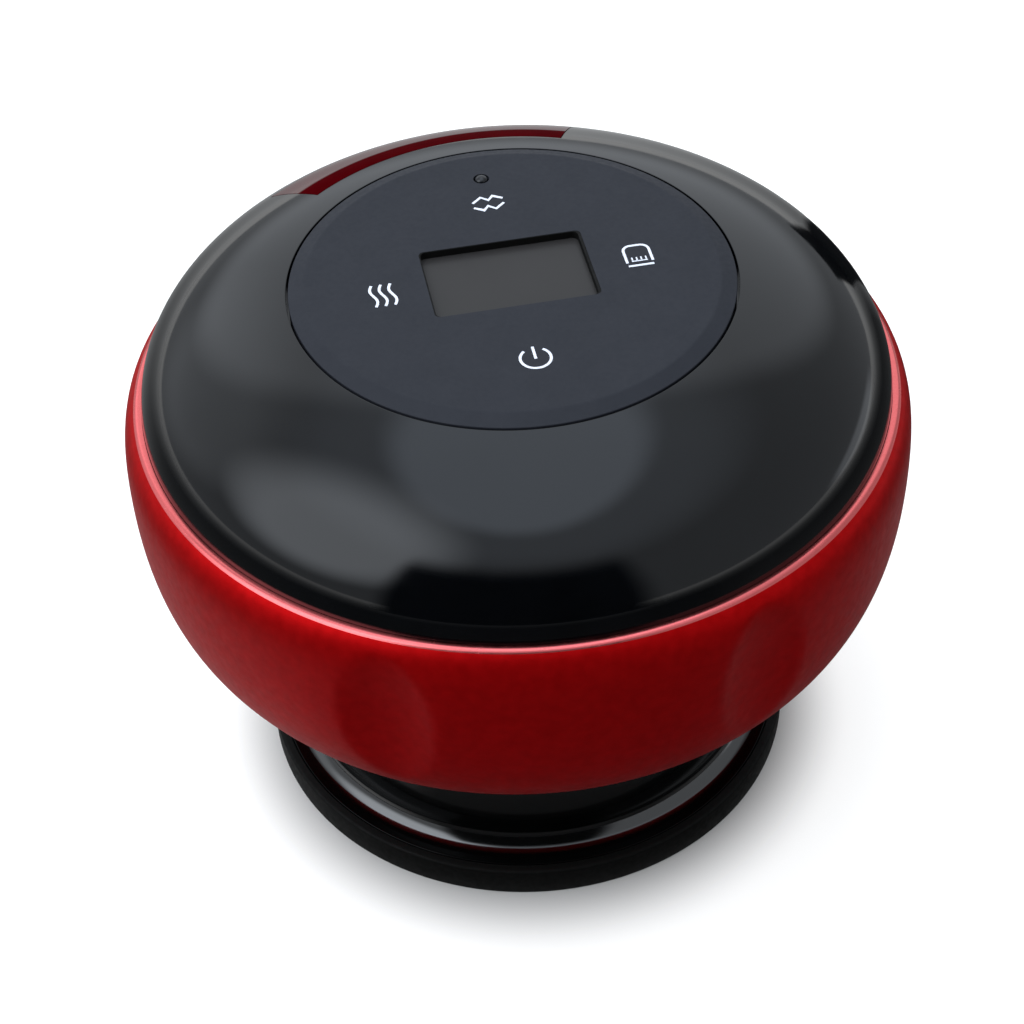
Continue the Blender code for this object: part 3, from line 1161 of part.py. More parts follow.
def release_valve():
    """A small solenoid: yoke, coil, sprung plunger and the seat that its pad closes."""
    place = (VALVE_X, VALVE_Y, 0)
    half = YOKE_WIDTH / 2
    inner = half - YOKE_SHEET
    outline = [(-half, DECK_Z), (half, DECK_Z), (half, YOKE_TOP_Z), (-half, YOKE_TOP_Z)]
    yoke = prism("valve_yoke", outline, -YOKE_DEPTH / 2, YOKE_DEPTH / 2, steel(),
                 (VALVE_X, VALVE_Y, 0), "Y")
    window = [(-inner, DECK_Z + YOKE_SHEET), (inner, DECK_Z + YOKE_SHEET),
              (inner, YOKE_TOP_Z - YOKE_SHEET), (-inner, YOKE_TOP_Z - YOKE_SHEET)]
    cut(yoke, prism("window", window, -YOKE_DEPTH / 2 - OVERRUN, YOKE_DEPTH / 2 + OVERRUN, steel(),
                    (VALVE_X, VALVE_Y, 0), "Y"))
    cut(yoke, rod("nozzle_way", NIPPLE_RADIUS + CLEAR, YOKE_TOP_Z - 2 * YOKE_SHEET,
                  YOKE_TOP_Z + OVERRUN, steel(), place=place))
    bore = PLUNGER_RADIUS + CLEAR
    well = PLUNGER_FLANGE_Z - PLUNGER_LENGTH - VALVE_TRAVEL - CLEAR
    waist = COIL_RADIUS - COIL_GROOVE
    turned("valve_coil", [(0, COIL_Z), (COIL_RADIUS, COIL_Z), (COIL_RADIUS, COIL_Z + COIL_WALL),
                          (waist, COIL_Z + COIL_WALL), (waist, COIL_TOP_Z - COIL_WALL),
                          (COIL_RADIUS, COIL_TOP_Z - COIL_WALL), (COIL_RADIUS, COIL_TOP_Z),
                          (bore, COIL_TOP_Z), (bore, well), (0, well)],
           white_plastic(), DISC_STEPS, place)
    flange_top = PLUNGER_FLANGE
    turned("valve_plunger", [(0, -PLUNGER_LENGTH), (PLUNGER_RADIUS, -PLUNGER_LENGTH),
                             (PLUNGER_RADIUS, 0), (PLUNGER_FLANGE_RADIUS, 0),
                             (PLUNGER_FLANGE_RADIUS, flange_top), (0, flange_top)],
           steel(), DISC_STEPS, (VALVE_X, VALVE_Y, PLUNGER_FLANGE_Z))
    valve_spring()
    seat_top = SEAT_Z + SEAT_THICKNESS
    tip = YOKE_TOP_Z + NIPPLE_LENGTH
    turned("valve_nozzle", [(NIPPLE_BORE, SEAT_Z), (PLUNGER_FLANGE_RADIUS, SEAT_Z),
                            (PLUNGER_FLANGE_RADIUS, seat_top), (NIPPLE_RADIUS, seat_top),
                            (NIPPLE_RADIUS, tip), (NIPPLE_BORE, tip)],
           white_plastic(), PIN_STEPS, place)


def valve_spring():
    """An open coil spring of round wire between the coil and the plunger's flange."""
    rise = SPRING_HEIGHT - 2 * SPRING_WIRE
    count = SPRING_TURNS * SPRING_TURN_POINTS
    path = []
    for step in range(count + 1):
        x, y = around(SPRING_RADIUS, 360 * step / SPRING_TURN_POINTS)
        path.append(Vector((VALVE_X + x, VALVE_Y + y, SPRING_Z + SPRING_WIRE + rise * step / count)))
    tube("valve_spring", path, SPRING_WIRE, 0, steel(), SPRING_SIDES)


def air_manifold():
    half = MANIFOLD_SIZE / 2
    look = white_plastic()
    cross = block("air_manifold", (-half, CUP_NIPPLE_Y - half, MANIFOLD_Z - half),
                  (half, CUP_NIPPLE_Y + half, MANIFOLD_Z + half), look)
    reach = half + NIPPLE_LENGTH
    place = (0, CUP_NIPPLE_Y, MANIFOLD_Z)
    for lie in (None, "X"):
        add(cross, rod("nipples", NIPPLE_RADIUS, -reach, reach, look, place=place, lie=lie))
    far = reach + OVERRUN
    bores = rod("bores", NIPPLE_BORE, -far, far, look, place=place)
    add(bores, rod("side_bores", SIDE_BORE, -far, far, look, place=place, lie="X"))
    cut(cross, bores)


def hoses():
    """Silicone hoses from the cross-piece's nipples to the cup, pump, sensor and valve."""
    y = CUP_NIPPLE_Y
    block_end = MANIFOLD_SIZE / 2 + CLEAR
    inlet_end = CASE_FRONT_Y - CLEAR
    sensor_end = BOARD_BOTTOM_Z - CLEAR - SENSOR_HEIGHT - CLEAR
    nozzle_end = YOKE_TOP_Z + CLEAR
    over_valve = nozzle_end + NIPPLE_LENGTH + HOSE_BEND
    hose("cup_hose", [(0, y, CEILING_TOP_Z + CLEAR), (0, y, MANIFOLD_Z - block_end)])
    hose("pump_hose", [(0, y, MANIFOLD_Z + block_end), (0, y, INLET_Z), (0, inlet_end, INLET_Z)])
    hose("sensor_hose", [(-block_end, y, MANIFOLD_Z), (SENSOR_X, y, MANIFOLD_Z),
                         (SENSOR_X, y, sensor_end)])
    hose("valve_hose", [(block_end, y, MANIFOLD_Z), (VALVE_X, y, MANIFOLD_Z), (VALVE_X, y, over_valve),
                        (VALVE_X, VALVE_Y, over_valve), (VALVE_X, VALVE_Y, nozzle_end)])


def charge_board_z():
    return PORT_Z - PORT_HEIGHT / 2 - CLEAR - CHARGE_BOARD_THICKNESS


def charge_post_place():
    return (CHARGE_BOARD_WIDTH / 2 - CHARGE_POST_INSET,
            CHARGE_BOARD_BACK_Y - CHARGE_BOARD_LENGTH + CHARGE_POST_INSET)


def charging():
    """The small board at the back and the socket that shows in the shell's slot."""
    low = charge_board_z()
    half = CHARGE_BOARD_WIDTH / 2
    front = CHARGE_BOARD_BACK_Y - CHARGE_BOARD_LENGTH
    board = block("charging_board", (-half, front, low),
                  (half, CHARGE_BOARD_BACK_Y, low + CHARGE_BOARD_THICKNESS), circuit_board())
    post_x, post_y = charge_post_place()
    cut(board, rod("hole", HOLE_RADIUS, low - OVERRUN, low + CHARGE_BOARD_THICKNESS + OVERRUN,
                   circuit_board(), place=(post_x, post_y, 0)))
    screw("charger_screw", post_x, post_y, low + CHARGE_BOARD_THICKNESS + CLEAR, False,
          CHARGE_BOARD_THICKNESS + CLEAR + SCREW_BITE)
    mouth = BODY_RADIUS - PORT_SETBACK
    socket = prism("charging_socket", rounded_rectangle(PORT_WIDTH, PORT_HEIGHT, PORT_CORNER),
                   mouth - PORT_LENGTH, mouth, steel(), (0, 0, PORT_Z), "Y")
    inside = rounded_rectangle(PORT_WIDTH - 2 * PORT_SHEET, PORT_HEIGHT - 2 * PORT_SHEET,
                               PORT_CORNER - PORT_SHEET)
    room = prism("room", inside, mouth - PORT_CAVITY_DEPTH, mouth + OVERRUN, steel(),
                 (0, 0, PORT_Z), "Y")
    tongue = PORT_TONGUE_WIDTH / 2
    cut(room, block("tongue", (-tongue, mouth - PORT_CAVITY_DEPTH - OVERRUN,
                               PORT_Z - PORT_TONGUE_HEIGHT / 2),
                    (tongue, mouth - PORT_TONGUE_GAP, PORT_Z + PORT_TONGUE_HEIGHT / 2), steel()))
    cut(socket, room)


def cables():
    """Leads from the battery, the motor and, through its grommet, the heater to the board."""
    board = BOARD_BOTTOM_Z - CLEAR
    turn_z = board - CABLE_DROP
    cell_x = CRADLE_X + CLEAR + CABLE_RADIUS
    cell_z = DECK_Z + CRADLE_HEIGHT / 2
    motor_x = MOTOR_FRONT_X - MOTOR_LENGTH
    motor_z = PUMP_Z + MOTOR_RADIUS / 2
    lead_x, lead_y = cell_x - BATTERY_LEAD_STEP[0], CELL_Y + BATTERY_LEAD_STEP[1]
    x, y = GROMMET_PLACE
    routes = {
        "battery_cable": [(cell_x, CELL_Y, cell_z), (cell_x, CELL_Y, turn_z),
                          (lead_x, lead_y, turn_z), (lead_x, lead_y, board)],
        "pump_cable": [(motor_x - CLEAR, PUMP_Y, motor_z), (motor_x - CABLE_REACH, PUMP_Y, motor_z),
                       (motor_x - CABLE_REACH, PUMP_Y, turn_z), (motor_x + CABLE_REACH, PUMP_Y, turn_z),
                       (motor_x + CABLE_REACH, PUMP_Y, board)],
        "heater_cable": [(x, y, CEILING_Z), (x, y, turn_z), (x + CABLE_REACH, y, turn_z),
                         (x + CABLE_REACH, y, board)],
    }
    for name, corners in routes.items():
        path = rounded_route(corners, CABLE_BEND)
        tube(name, path, CABLE_RADIUS, 0, cable_jacket(), CABLE_SIDES)


def shade_all():
    for thing in bpy.context.scene.objects:
        thing.data.shade_smooth()
        thing.data.set_sharp_from_angle(angle=radians(SMOOTH_DEGREES))


def main():
    clear_scene()
    red_shell()
    dome_cover()
    rear_accent()
    touch_panel()
    display()
    indicator_light_pipe()
    touch_contacts()
    main_board()
    pressure_sensor()
    cup()
    mouth_ring()
    cup_gasket()
    cable_grommet()
    cup_ceiling()
    filter_parts()
    chassis()
    motor_and_strap()
    pump_case()
    crank_and_rod()
    pump_top()
    battery()
    release_valve()
    air_manifold()
    hoses()
    charging()
    cables()
    shade_all()


main()
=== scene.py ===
"""Looks of the electric cupping massager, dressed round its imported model.

Metres, +Z up, the power symbol towards -Y. Outlines are (radius, height) or (across, up) points,
and a third number in a point is how far its corner is rounded.
"""

import json
from math import atan2, cos, degrees, hypot, pi, radians, sin, tau

import bmesh
import bpy
from mathutils import Matrix, Vector


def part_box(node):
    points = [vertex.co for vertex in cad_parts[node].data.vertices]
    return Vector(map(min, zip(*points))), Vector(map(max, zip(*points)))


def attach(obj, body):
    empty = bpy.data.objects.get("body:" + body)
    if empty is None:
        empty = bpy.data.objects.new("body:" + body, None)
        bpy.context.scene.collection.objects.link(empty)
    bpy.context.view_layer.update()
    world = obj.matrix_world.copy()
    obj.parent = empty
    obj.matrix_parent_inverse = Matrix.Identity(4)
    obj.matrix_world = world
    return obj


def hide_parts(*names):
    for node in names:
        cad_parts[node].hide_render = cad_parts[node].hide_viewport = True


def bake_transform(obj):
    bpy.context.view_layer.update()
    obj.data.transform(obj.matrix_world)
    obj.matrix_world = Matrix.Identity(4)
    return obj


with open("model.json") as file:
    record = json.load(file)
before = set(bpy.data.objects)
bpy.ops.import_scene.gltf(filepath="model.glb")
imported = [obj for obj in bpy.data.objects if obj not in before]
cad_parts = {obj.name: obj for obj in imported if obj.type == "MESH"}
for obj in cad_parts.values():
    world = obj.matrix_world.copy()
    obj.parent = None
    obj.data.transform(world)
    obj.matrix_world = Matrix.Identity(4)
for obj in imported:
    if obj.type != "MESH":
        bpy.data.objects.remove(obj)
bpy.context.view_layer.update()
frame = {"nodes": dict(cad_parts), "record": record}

MM = 0.001
BODY = "housing"

# Mesh steps, and angles in degrees
TURN_STEPS = 192
SHELL_STEPS = 384
SHELL_CURVE_STEPS = 40
CURVE_STEPS = 28
CORNER_STEPS = 4
PIPE_STEPS = 48
POST_STEPS = 32
INSIDE_STRIDE = 4
SHARP_DEGREES = 32
QUARTER_TURN = 90

# Places read from the frame
SHELL_LOW, SHELL_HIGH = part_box("red_shell")
DOME_LOW, DOME_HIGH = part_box("dome_cover")
PANEL_LOW, PANEL_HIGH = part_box("touch_panel")
LENS_LOW, LENS_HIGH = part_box("display_lens")
PIPE_LOW, PIPE_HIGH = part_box("indicator_light_pipe")
CUP_LOW, CUP_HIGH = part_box("cup")
RING_LOW, RING_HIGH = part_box("mouth_ring")
PLATE_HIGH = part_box("heater_plate")[1]
SOCKET_LOW, SOCKET_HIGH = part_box("charging_socket")
SPRING_LOW, SPRING_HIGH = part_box("valve_spring")
BODY_RADIUS = SHELL_HIGH.x
SEAM_Z = SHELL_HIGH.z
BOWL_BOTTOM_Z = SHELL_LOW.z
DOME_RADIUS = DOME_HIGH.x
DOME_TOP_Z = DOME_HIGH.z
PANEL_RADIUS = PANEL_HIGH.x
PANEL_TOP_Z = PANEL_HIGH.z
FLANGE_RADIUS = CUP_HIGH.x
PORT_Z = (SOCKET_LOW.z + SOCKET_HIGH.z) / 2

# Gaps between pieces
GAP = 0.3 * MM
OVERRUN = 1.0 * MM
MERGE = GAP / 1000

# Red shell
SHELL_WALL = 2.2 * MM
SHOULDER_HEIGHT = 10.7 * MM
SHOULDER_TURN = radians(36.0)
SHOULDER_REACH = 2.2 * MM
SHOULDER_SIDE = 5.0 * MM
BEAD_WIDTH = 1.15 * MM
BEAD_DROP = 0.42 * MM
BEAD_FLAT = 0.75 * MM
BEAD_ROLL = 0.25 * MM
BEAD_GAP = 0.05 * MM
BEAD_SAG = 0.06 * MM
BOWL_SIDE_SHARE = 0.686
BOWL_FLOOR_SHARE = 0.706
BOWL_FLOOR_TURN = radians(15.0)
BOWL_FLOOR_STEP = 2.6 * MM
LEDGE_DROP = 2.2 * MM
LEDGE_WIDTH = 1.0 * MM
WIDEST_Z = SEAM_Z - SHOULDER_HEIGHT
BEAD_INNER = DOME_RADIUS + BEAD_GAP
BEAD_OUTER = BEAD_INNER + BEAD_WIDTH

# Finger dimples
DIMPLE_TURNS = (radians(-29.1), radians(24.0))
DIMPLE_DROP = 3.5 * MM
DIMPLE_HALF_WIDTH = 6.7 * MM
DIMPLE_HALF_HEIGHT = 12.6 * MM
DIMPLE_DEPTH = 1.5 * MM
DIMPLE_LIP_SHARE = 0.1
DIMPLE_ZONE = 3 * SHELL_WALL

# Charging slot
SLOT_MARGIN = 0.6 * MM
SLOT_DEPTH = 4.0 * MM
SLOT_CORNER_SHARE = 0.9

# Dome
DOME_WALL = 2.0 * MM
DOME_TOP_TURN = radians(13.1)
DOME_TOP_SHARE = 0.52
DOME_SIDE_SHARE = 0.5
DOME_RIM_DROP = 1.9 * MM
DOME_EDGE = 0.15 * MM
SKIRT_INSET = 1.0 * MM
SKIRT_WALL = 1.4 * MM
SEAT_WIDTH = 2.3 * MM
OPENING_RADIUS = PANEL_RADIUS + GAP

# Red inlay at the back
ACCENT_GAP = 5.1 * MM
ACCENT_WIDTH = 9.55 * MM
ACCENT_BAND = 3.7 * MM
ACCENT_BLEND = 0.5 * MM
ACCENT_FRINGE_SHEEN = (0.0, 0.85)
ACCENT_LEFT = radians(40.0)
ACCENT_RIGHT = radians(22.5)
ACCENT_THICKNESS = 0.9 * MM
ACCENT_SEAM = 0.12 * MM
ACCENT_STEPS = 72

# Touch panel and window
PANEL_BAND = 2.15 * MM
PANEL_BAND_DROP = 0.75 * MM
PANEL_EDGE = 0.25 * MM
WINDOW_PLACE = (-0.33 * MM, 0.4 * MM)
WINDOW_HALF = (11.2 * MM, 7.15 * MM)
WINDOW_CORNER = 0.8 * MM
WINDOW_DEPTH = 0.8 * MM
# The lining's thickness at the left, right, front and back; its black top, widest at the right and
# thinnest at the front, is painted shade of the recess
LINING_WALLS = (0.2 * MM, 0.38 * MM, 0.02 * MM, 0.12 * MM)
LINING_STEP = 0.04 * MM
LENS_EDGE = 0.1 * MM
PIPE_RADIUS = 0.9 * MM
PIPE_MARGIN = 0.22 * MM
PIPE_DOME = 0.55 * MM
PIPE_PLACE = (PIPE_LOW.y + PIPE_HIGH.y) / 2

# Return spring of the valve
SPRING_WIRE = 0.25 * MM
SPRING_TURNS = 3
SPRING_STEPS = 24
SPRING_SIDES = 10

# Printed symbols
INK_THICKNESS = 0.02 * MM
INK_WIDTH = 0.37 * MM
FINE_INK_WIDTH = 0.2 * MM
SYMBOL_STEPS = 24
SHARPEST_TURN_SHARE = 0.6
POWER_PLACE = (-0.4 * MM, -17.75 * MM)
POWER_RADIUS = 2.0 * MM
POWER_GAP = radians(38)
POWER_BAR = (-0.15 * MM, 2.3 * MM)
HEAT_PLACE = (-17.5 * MM, -0.5 * MM)
HEAT_HEIGHT = 4.6 * MM
HEAT_STEP = 1.28 * MM
HEAT_SWAY = 0.36 * MM
WAVE_PLACE = (-0.1 * MM, 16.5 * MM)
WAVE_LINE = ((-2.14 * MM, 0.34 * MM), (-0.85 * MM, 1.5 * MM), (0.13 * MM, 0.65 * MM),
             (0.83 * MM, 1.54 * MM), (2.16 * MM, 0.72 * MM))
CUP_SIGN_PLACE = (17.3 * MM, 0.2 * MM)
CUP_SIGN_WIDTH = 3.5 * MM
CUP_SIGN_LOW = -1.5 * MM
CUP_SIGN_HIGH = 2.2 * MM
CUP_SIGN_CORNER = 1.1 * MM
CUP_SIGN_BASE = -2.18 * MM
CUP_SIGN_LINE_HALF = 1.1 * MM
CUP_SIGN_LINE = -1.22 * MM
CUP_SIGN_TEETH = ((-0.95 * MM, -0.32 * MM, 0.3 * MM, 0.95 * MM), (-1.05 * MM, -0.4 * MM))

# Cup: neck, flange and chamber
NECK_RADIUS = FLANGE_RADIUS - 4.0 * MM
NECK_WALL = 2.4 * MM
FLANGE_TOP_Z = RING_HIGH.z
FLANGE_FILLET = 3.0 * MM
FLANGE_EDGE = 0.2 * MM
LIP_REACH = 2.4 * MM
LIP_THICKNESS = 2.0 * MM
CEILING_THICKNESS = 2.0 * MM
FILTER_SOCKET = (8.0 * MM, 10.2 * MM, 5.8 * MM)
# How its reflection strength goes by height above the flange: levels, and where they start and end.
# Nearly none on the flange's top is a painted-out reflection; the rise in the hollow is a painted
# highlight
FOOT_DULLED_REFLECTION = (0.04, 0.5)
FOOT_DULLED_REFLECTION_RISE = (0.06 * MM, 0.25 * MM)
FOOT_PAINTED_HIGHLIGHT = (0.65, 0.0)
FOOT_PAINTED_HIGHLIGHT_RISE = (2.0 * MM, 3.2 * MM)
POST_INSET = 2.8 * MM
POST_RADIUS = 2.3 * MM
POST_TURNS = (30, 150, 270)
RING_ROUNDING = 0.55 * MM
RING_REACH = 0.6 * MM
RING_GAP = GAP / 3

# Camera, where it stands for the photograph
CAMERA_PLACE = (-41.0 * MM, -237.0 * MM, 269.4 * MM)
CAMERA_TURN = radians(-9.5)
CAMERA_ELEVATION = radians(43.76)
CAMERA_ROLL = radians(2.39)
CAMERA_LENS = 79.65
SENSOR_WIDTH = 36.0

# Stage and light
FLOOR_RADIUS = 12.0
FLOOR_STEPS = 96
FLOOR_Z = -0.02 * MM
FLOOR_COLOUR = (0.505, 0.5, 0.48)
# The floor's glow is nearly nothing round the foot and full further out: painted shadow round the
# foot
FLOOR_LIFT_IN_PAINTED_SHADOW = 0.03
FLOOR_LIFT_FAR = 0.665
PAINTED_SHADOW_RADIUS = 36.0 * MM
PAINTED_SHADOW_FADE_END = 50.5 * MM
PAINTED_SHADOW_CENTRE = (0.2 * MM, -1.5 * MM, 0.0)
WORLD_LEVEL = 0.42
WORLD_COLOUR = (0.95, 1.0, 1.06, 1.0)
LAMP_COLOUR = (0.94, 1.0, 1.08)
SKY_COLOUR = (0.88, 1.0, 1.18)
STAGE_CENTRE_Z = 60.0 * MM
FACE_MIDDLE = 0.5

# Lamps: turn and rise round the object in degrees, distance, size of the face, radiance, the
# share of the face over which it fades, colour, and whether reflections show it
LAMPS = {
    "overhead": (178, 83, 0.6, (0.48, 0.68), 0.75, 0.3, SKY_COLOUR, True),
    "top_sheet": (0, 90, 0.62, (1.25, 1.25), 0.28, 0.5, SKY_COLOUR, True),
    "left_box": (-64, 42, 0.55, (0.76, 0.8), 1.65, 0.6, LAMP_COLOUR, True),
    "left_sheet": (-122, 26, 0.8, (1.0, 0.9), 0.36, 0.6, LAMP_COLOUR, True),
    "back_sheet": (180, 34, 0.82, (1.7, 1.1), 0.52, 0.3, LAMP_COLOUR, True),
    "right_strip": (106, 2, 0.7, (0.5, 0.14), 0.6, 0.5, LAMP_COLOUR, True),
    "fill": (-150, 62, 1.0, (1.3, 1.3), 1.6, 0.3, LAMP_COLOUR, False),
    "front_fill": (-18, 68, 1.0, (0.9, 0.9), 2.4, 0.3, LAMP_COLOUR, False),
}

# Dark cards seen in reflections: each has a path of distances from the middle, heights and
# veils, 1 being dark, and its veil at turns round the object in degrees
CARD_COLOUR = (0.01, 0.01, 0.01)
CARD_COLUMNS = 72
CARD_Z = 0.2 * MM
STAND_Z = 0.4 * MM
STAND_TOP_Z = 100.0 * MM
NEAR_PATH = ((0.041, CARD_Z, 0.94), (0.055, CARD_Z, 0.96), (0.075, CARD_Z, 0.98),
             (0.11, CARD_Z, 1))
NEAR_TURNS = ((-180, 0.7), (-110, 0.65), (-60, 0.68), (-28, 1), (35, 1), (70, 0.9), (110, 0.75),
              (180, 0.7))
FAR_PATH = ((0.11, CARD_Z, 1), (0.16, CARD_Z, 1), (0.22, CARD_Z, 1), (0.3, CARD_Z, 1),
            (0.4, CARD_Z, 0.94), (0.6, CARD_Z, 0.8), (1.0, CARD_Z, 0.4), (1.8, CARD_Z, 0))
FAR_TURNS = ((-180, 0.6), (-140, 0.82), (-100, 0.95), (-30, 0.98), (40, 0.98), (60, 0.95),
             (115, 0.97), (136, 0.97), (145, 0.82), (180, 0.6))
STAND_PATH = ((0.12, STAND_Z, 1), (0.2, STAND_Z, 1), (0.4, STAND_Z, 1), (0.6, STAND_Z, 1),
              (0.6, STAND_TOP_Z, 1))
STAND_TURNS = ((141.3, 0), (142.3, 1), (151.5, 1), (153.0, 0))
FRONT_TURNS = ((-40, 0), (-33, 1), (26, 1), (36, 0))
FRONT_RADIUS = 0.45
FRONT_ROWS = 21
FRONT_ROW_DEGREES = 3
FRONT_TOP_DEGREES = 58
FRONT_FADE_DEGREES = 12

# Finishes. "tint" is the darkest and the lightest colour, "rough" the lowest and the highest
# roughness, and "relief" the height of the bumps and their strength. Each follows a grain:
# its scale per metre, its finer layers, and if need be its stretch and its kind of texture.
NOISE = "ShaderNodeTexNoise"
CELLS = "ShaderNodeTexVoronoi"
GRAIN_SPAN = (0.3, 0.7)
PLASTIC_TINT_SHARES = (0.88, 1.12)
PLASTIC_ROUGH_SHARES = (0.9, 1.12)
METAL_TINT_SHARES = (0.86, 1.1)
METAL_ROUGH_SHARES = (0.8, 1.25)
BOARD_TRACKS = (380, 0, (1, 1, 0), CELLS)
SPONGE_CELLS = (2200, 0, (1, 1, 1), CELLS)


def scaled(values, share):
    """A colour times a share, at most white."""
    return [min(value * share, 1.0) for value in values]


def moulded(colour, roughness):
    """Spark-eroded plastic in any colour."""
    return {"tint": [scaled(colour, share) for share in PLASTIC_TINT_SHARES],
            "tint_grain": (400, 4),
            "rough": [roughness * share for share in PLASTIC_ROUGH_SHARES],
            "rough_grain": (900, 3),
            "relief": (0.008 * MM, 0.5), "relief_grain": (4200, 2)}


def metal(colour, roughness, brushed):
    """Metal with its marks drawn out along one direction."""
    marks = (900, 4, brushed)
    return {"tint": [scaled(colour, share) for share in METAL_TINT_SHARES], "tint_grain": marks,
            "rough": [roughness * share for share in METAL_ROUGH_SHARES], "rough_grain": marks,
            "relief": (0.003 * MM, 0.4), "relief_grain": marks,
            "sockets": {"Metallic": 1.0}}


FINISHES = {
    # Satin metallic paint, softly clouded, with fine flakes
    "red_paint": {"tint": ((0.425, 0.001, 0.002), (0.515, 0.0026, 0.0038)), "tint_grain": (650, 6),
                  "rough": (0.44, 0.51), "rough_grain": (900, 3),
                  "relief": (0.006 * MM, 0.4), "relief_grain": (5200, 1),
                  "sockets": {"Metallic": 0.68, "Specular IOR Level": 0.1}},
    # A lighter, pinker copy of the paint on the lip, a painted highlight, and smoother than the
    # rest
    "red_bead_painted_highlight": {"tint": ((0.9, 0.175, 0.175), (0.96, 0.205, 0.205)), "tint_grain": (5200, 1),
                 "rough": (0.2, 0.28), "rough_grain": (900, 3),
                 "sockets": {"Metallic": 1.0}},
    # Polished black moulding, with the faintest waviness and hairline wear
    "gloss_black": {"tint": ((0.0008, 0.001, 0.0014), (0.0013, 0.0016, 0.0021)),
                    "tint_grain": (160, 3),
                    "rough": (0.055, 0.085), "rough_grain": (420, 4),
                    "relief": (0.004 * MM, 0.4), "relief_grain": (90, 1)},
    # The cup's black, whose reflection strength is set by height: a painted highlight in the
    # hollow, a painted-out reflection on the flange's top
    "cup_black": {"tint": ((0.0008, 0.001, 0.001), (0.0013, 0.0015, 0.0015)),
                  "tint_grain": (160, 3),
                  "rough": (0.09, 0.13), "rough_grain": (420, 4),
                  "relief": (0.004 * MM, 0.4), "relief_grain": (90, 1),
                  "sockets": {"IOR": 1.75}},
    # Fine matt panel film
    "slate": {"tint": ((0.0155, 0.0172, 0.0223), (0.0175, 0.0192, 0.0247)),
              "tint_grain": (260, 4),
              "rough": (0.5, 0.6), "rough_grain": (1500, 2),
              "relief": (0.004 * MM, 0.5), "relief_grain": (6500, 1),
              "sockets": {"Specular IOR Level": 0.18}},
    # Smoked window over the dark display, lightly frosted
    "smoked_window": {"tint": ((0.0264, 0.0252, 0.0247), (0.028, 0.0268, 0.0263)),
                      "tint_grain": (120, 2),
                      "rough": (0.28, 0.36), "rough_grain": (700, 3),
                      "sockets": {"Specular IOR Level": 0.2}},
    # Deep red inlay that reflects almost nothing, with a coat on its outer side alone, a painted
    # sheen along its fringe
    "dark_red": {"tint": ((0.04, 0.0, 0.0008), (0.05, 0.0003, 0.0014)), "tint_grain": (240, 3),
                 "rough": (0.1, 0.15), "rough_grain": (500, 3),
                 "sockets": {"IOR": 1.01}},
    # Matt silicone rubber with a fine moulded grain
    "soft_black": {"tint": ((0.0021, 0.0021, 0.0018), (0.003, 0.003, 0.0025)),
                   "tint_grain": (700, 4),
                   "rough": (0.6, 0.75), "rough_grain": (1100, 3),
                   "relief": (0.01 * MM, 0.5), "relief_grain": (5200, 2),
                   "sockets": {"Specular IOR Level": 0.2}},
    "black_plastic": moulded((0.022, 0.022, 0.024), 0.42),
    "grey_plastic": moulded((0.33, 0.34, 0.35), 0.5),
    "white_plastic": moulded((0.72, 0.71, 0.67), 0.45),
    "steel": metal((0.56, 0.57, 0.58), 0.28, (1, 1, 12)),
    "aluminium": metal((0.5, 0.5, 0.51), 0.36, (1, 14, 1)),
    # Solder mask over copper tracks
    "circuit_board": {"tint": ((0.02, 0.2, 0.08), (0.008, 0.1, 0.04)), "tint_span": (0.05, 0.25),
                      "tint_grain": BOARD_TRACKS,
                      "rough": (0.3, 0.42), "rough_grain": (700, 3),
                      "relief": (0.02 * MM, 0.3), "relief_grain": BOARD_TRACKS},
    # Milky silicone hose
    "clear_silicone": {"tint": ((0.7, 0.7, 0.67), (0.78, 0.78, 0.76)), "tint_grain": (500, 3),
                       "rough": (0.26, 0.4), "rough_grain": (800, 3),
                       "sockets": {"Transmission Weight": 0.25}},
    "cell_wrap": moulded((0.02, 0.18, 0.42), 0.3),
    # Red lens of the chamber's lights
    "red_light": {"tint": ((0.55, 0.02, 0.018), (0.68, 0.04, 0.03)), "tint_grain": (900, 2),
                  "rough": (0.15, 0.24), "rough_grain": (600, 3),
                  "sockets": {"Coat Weight": 0.5}},
    # Polished dark lens of the indicator
    "dark_lens": {"tint": ((0.005, 0.0055, 0.007), (0.007, 0.0075, 0.009)),
                  "tint_grain": (900, 2),
                  "rough": (0.13, 0.2), "rough_grain": (600, 3)},
    # Open foam of the filter
    "sponge": {"tint": ((0.5, 0.5, 0.46), (0.84, 0.84, 0.8)), "tint_span": (0.0, 0.6),
               "tint_grain": SPONGE_CELLS,
               "relief": (0.15 * MM, 0.8), "relief_grain": SPONGE_CELLS,
               "sockets": {"Roughness": 0.95}},
    "cable_jacket": moulded((0.24, 0.02, 0.02), 0.45),
    # White printed ink
    "white_ink": {"tint": ((0.64, 0.67, 0.75), (0.72, 0.75, 0.81)), "tint_grain": (2600, 3),
                  "rough": (0.45, 0.6), "rough_grain": (1800, 2)},
}


def shade(mesh):
    """Smooth shading that keeps sharp edges."""
    mesh.shade_smooth()
    mesh.set_sharp_from_angle(angle=radians(SHARP_DEGREES))


def tidy_normals(piece):
    """Smooth shading that keeps sharp edges and leaves large flat faces flat."""
    shade(piece.data)
    weights = piece.modifiers.new("weights", "WEIGHTED_NORMAL")
    weights.keep_sharp = True
    return piece


def add_piece(name, shape, look):
    """Turns a finished bmesh into an object that stays where its vertices are."""
    bmesh.ops.recalc_face_normals(shape, faces=shape.faces)
    mesh = bpy.data.meshes.new(name)
    shape.to_mesh(mesh)
    shape.free()
    mesh.materials.append(look)
    piece = bpy.data.objects.new(name, mesh)
    bpy.context.scene.collection.objects.link(piece)
    return piece


def dress(piece, slot, *nodes, body=BODY):
    """The piece rides on its body and stands for these nodes, which it hides; its slot is not used.
    """
    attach(piece, body)
    if nodes:
        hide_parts(*nodes)
    return piece


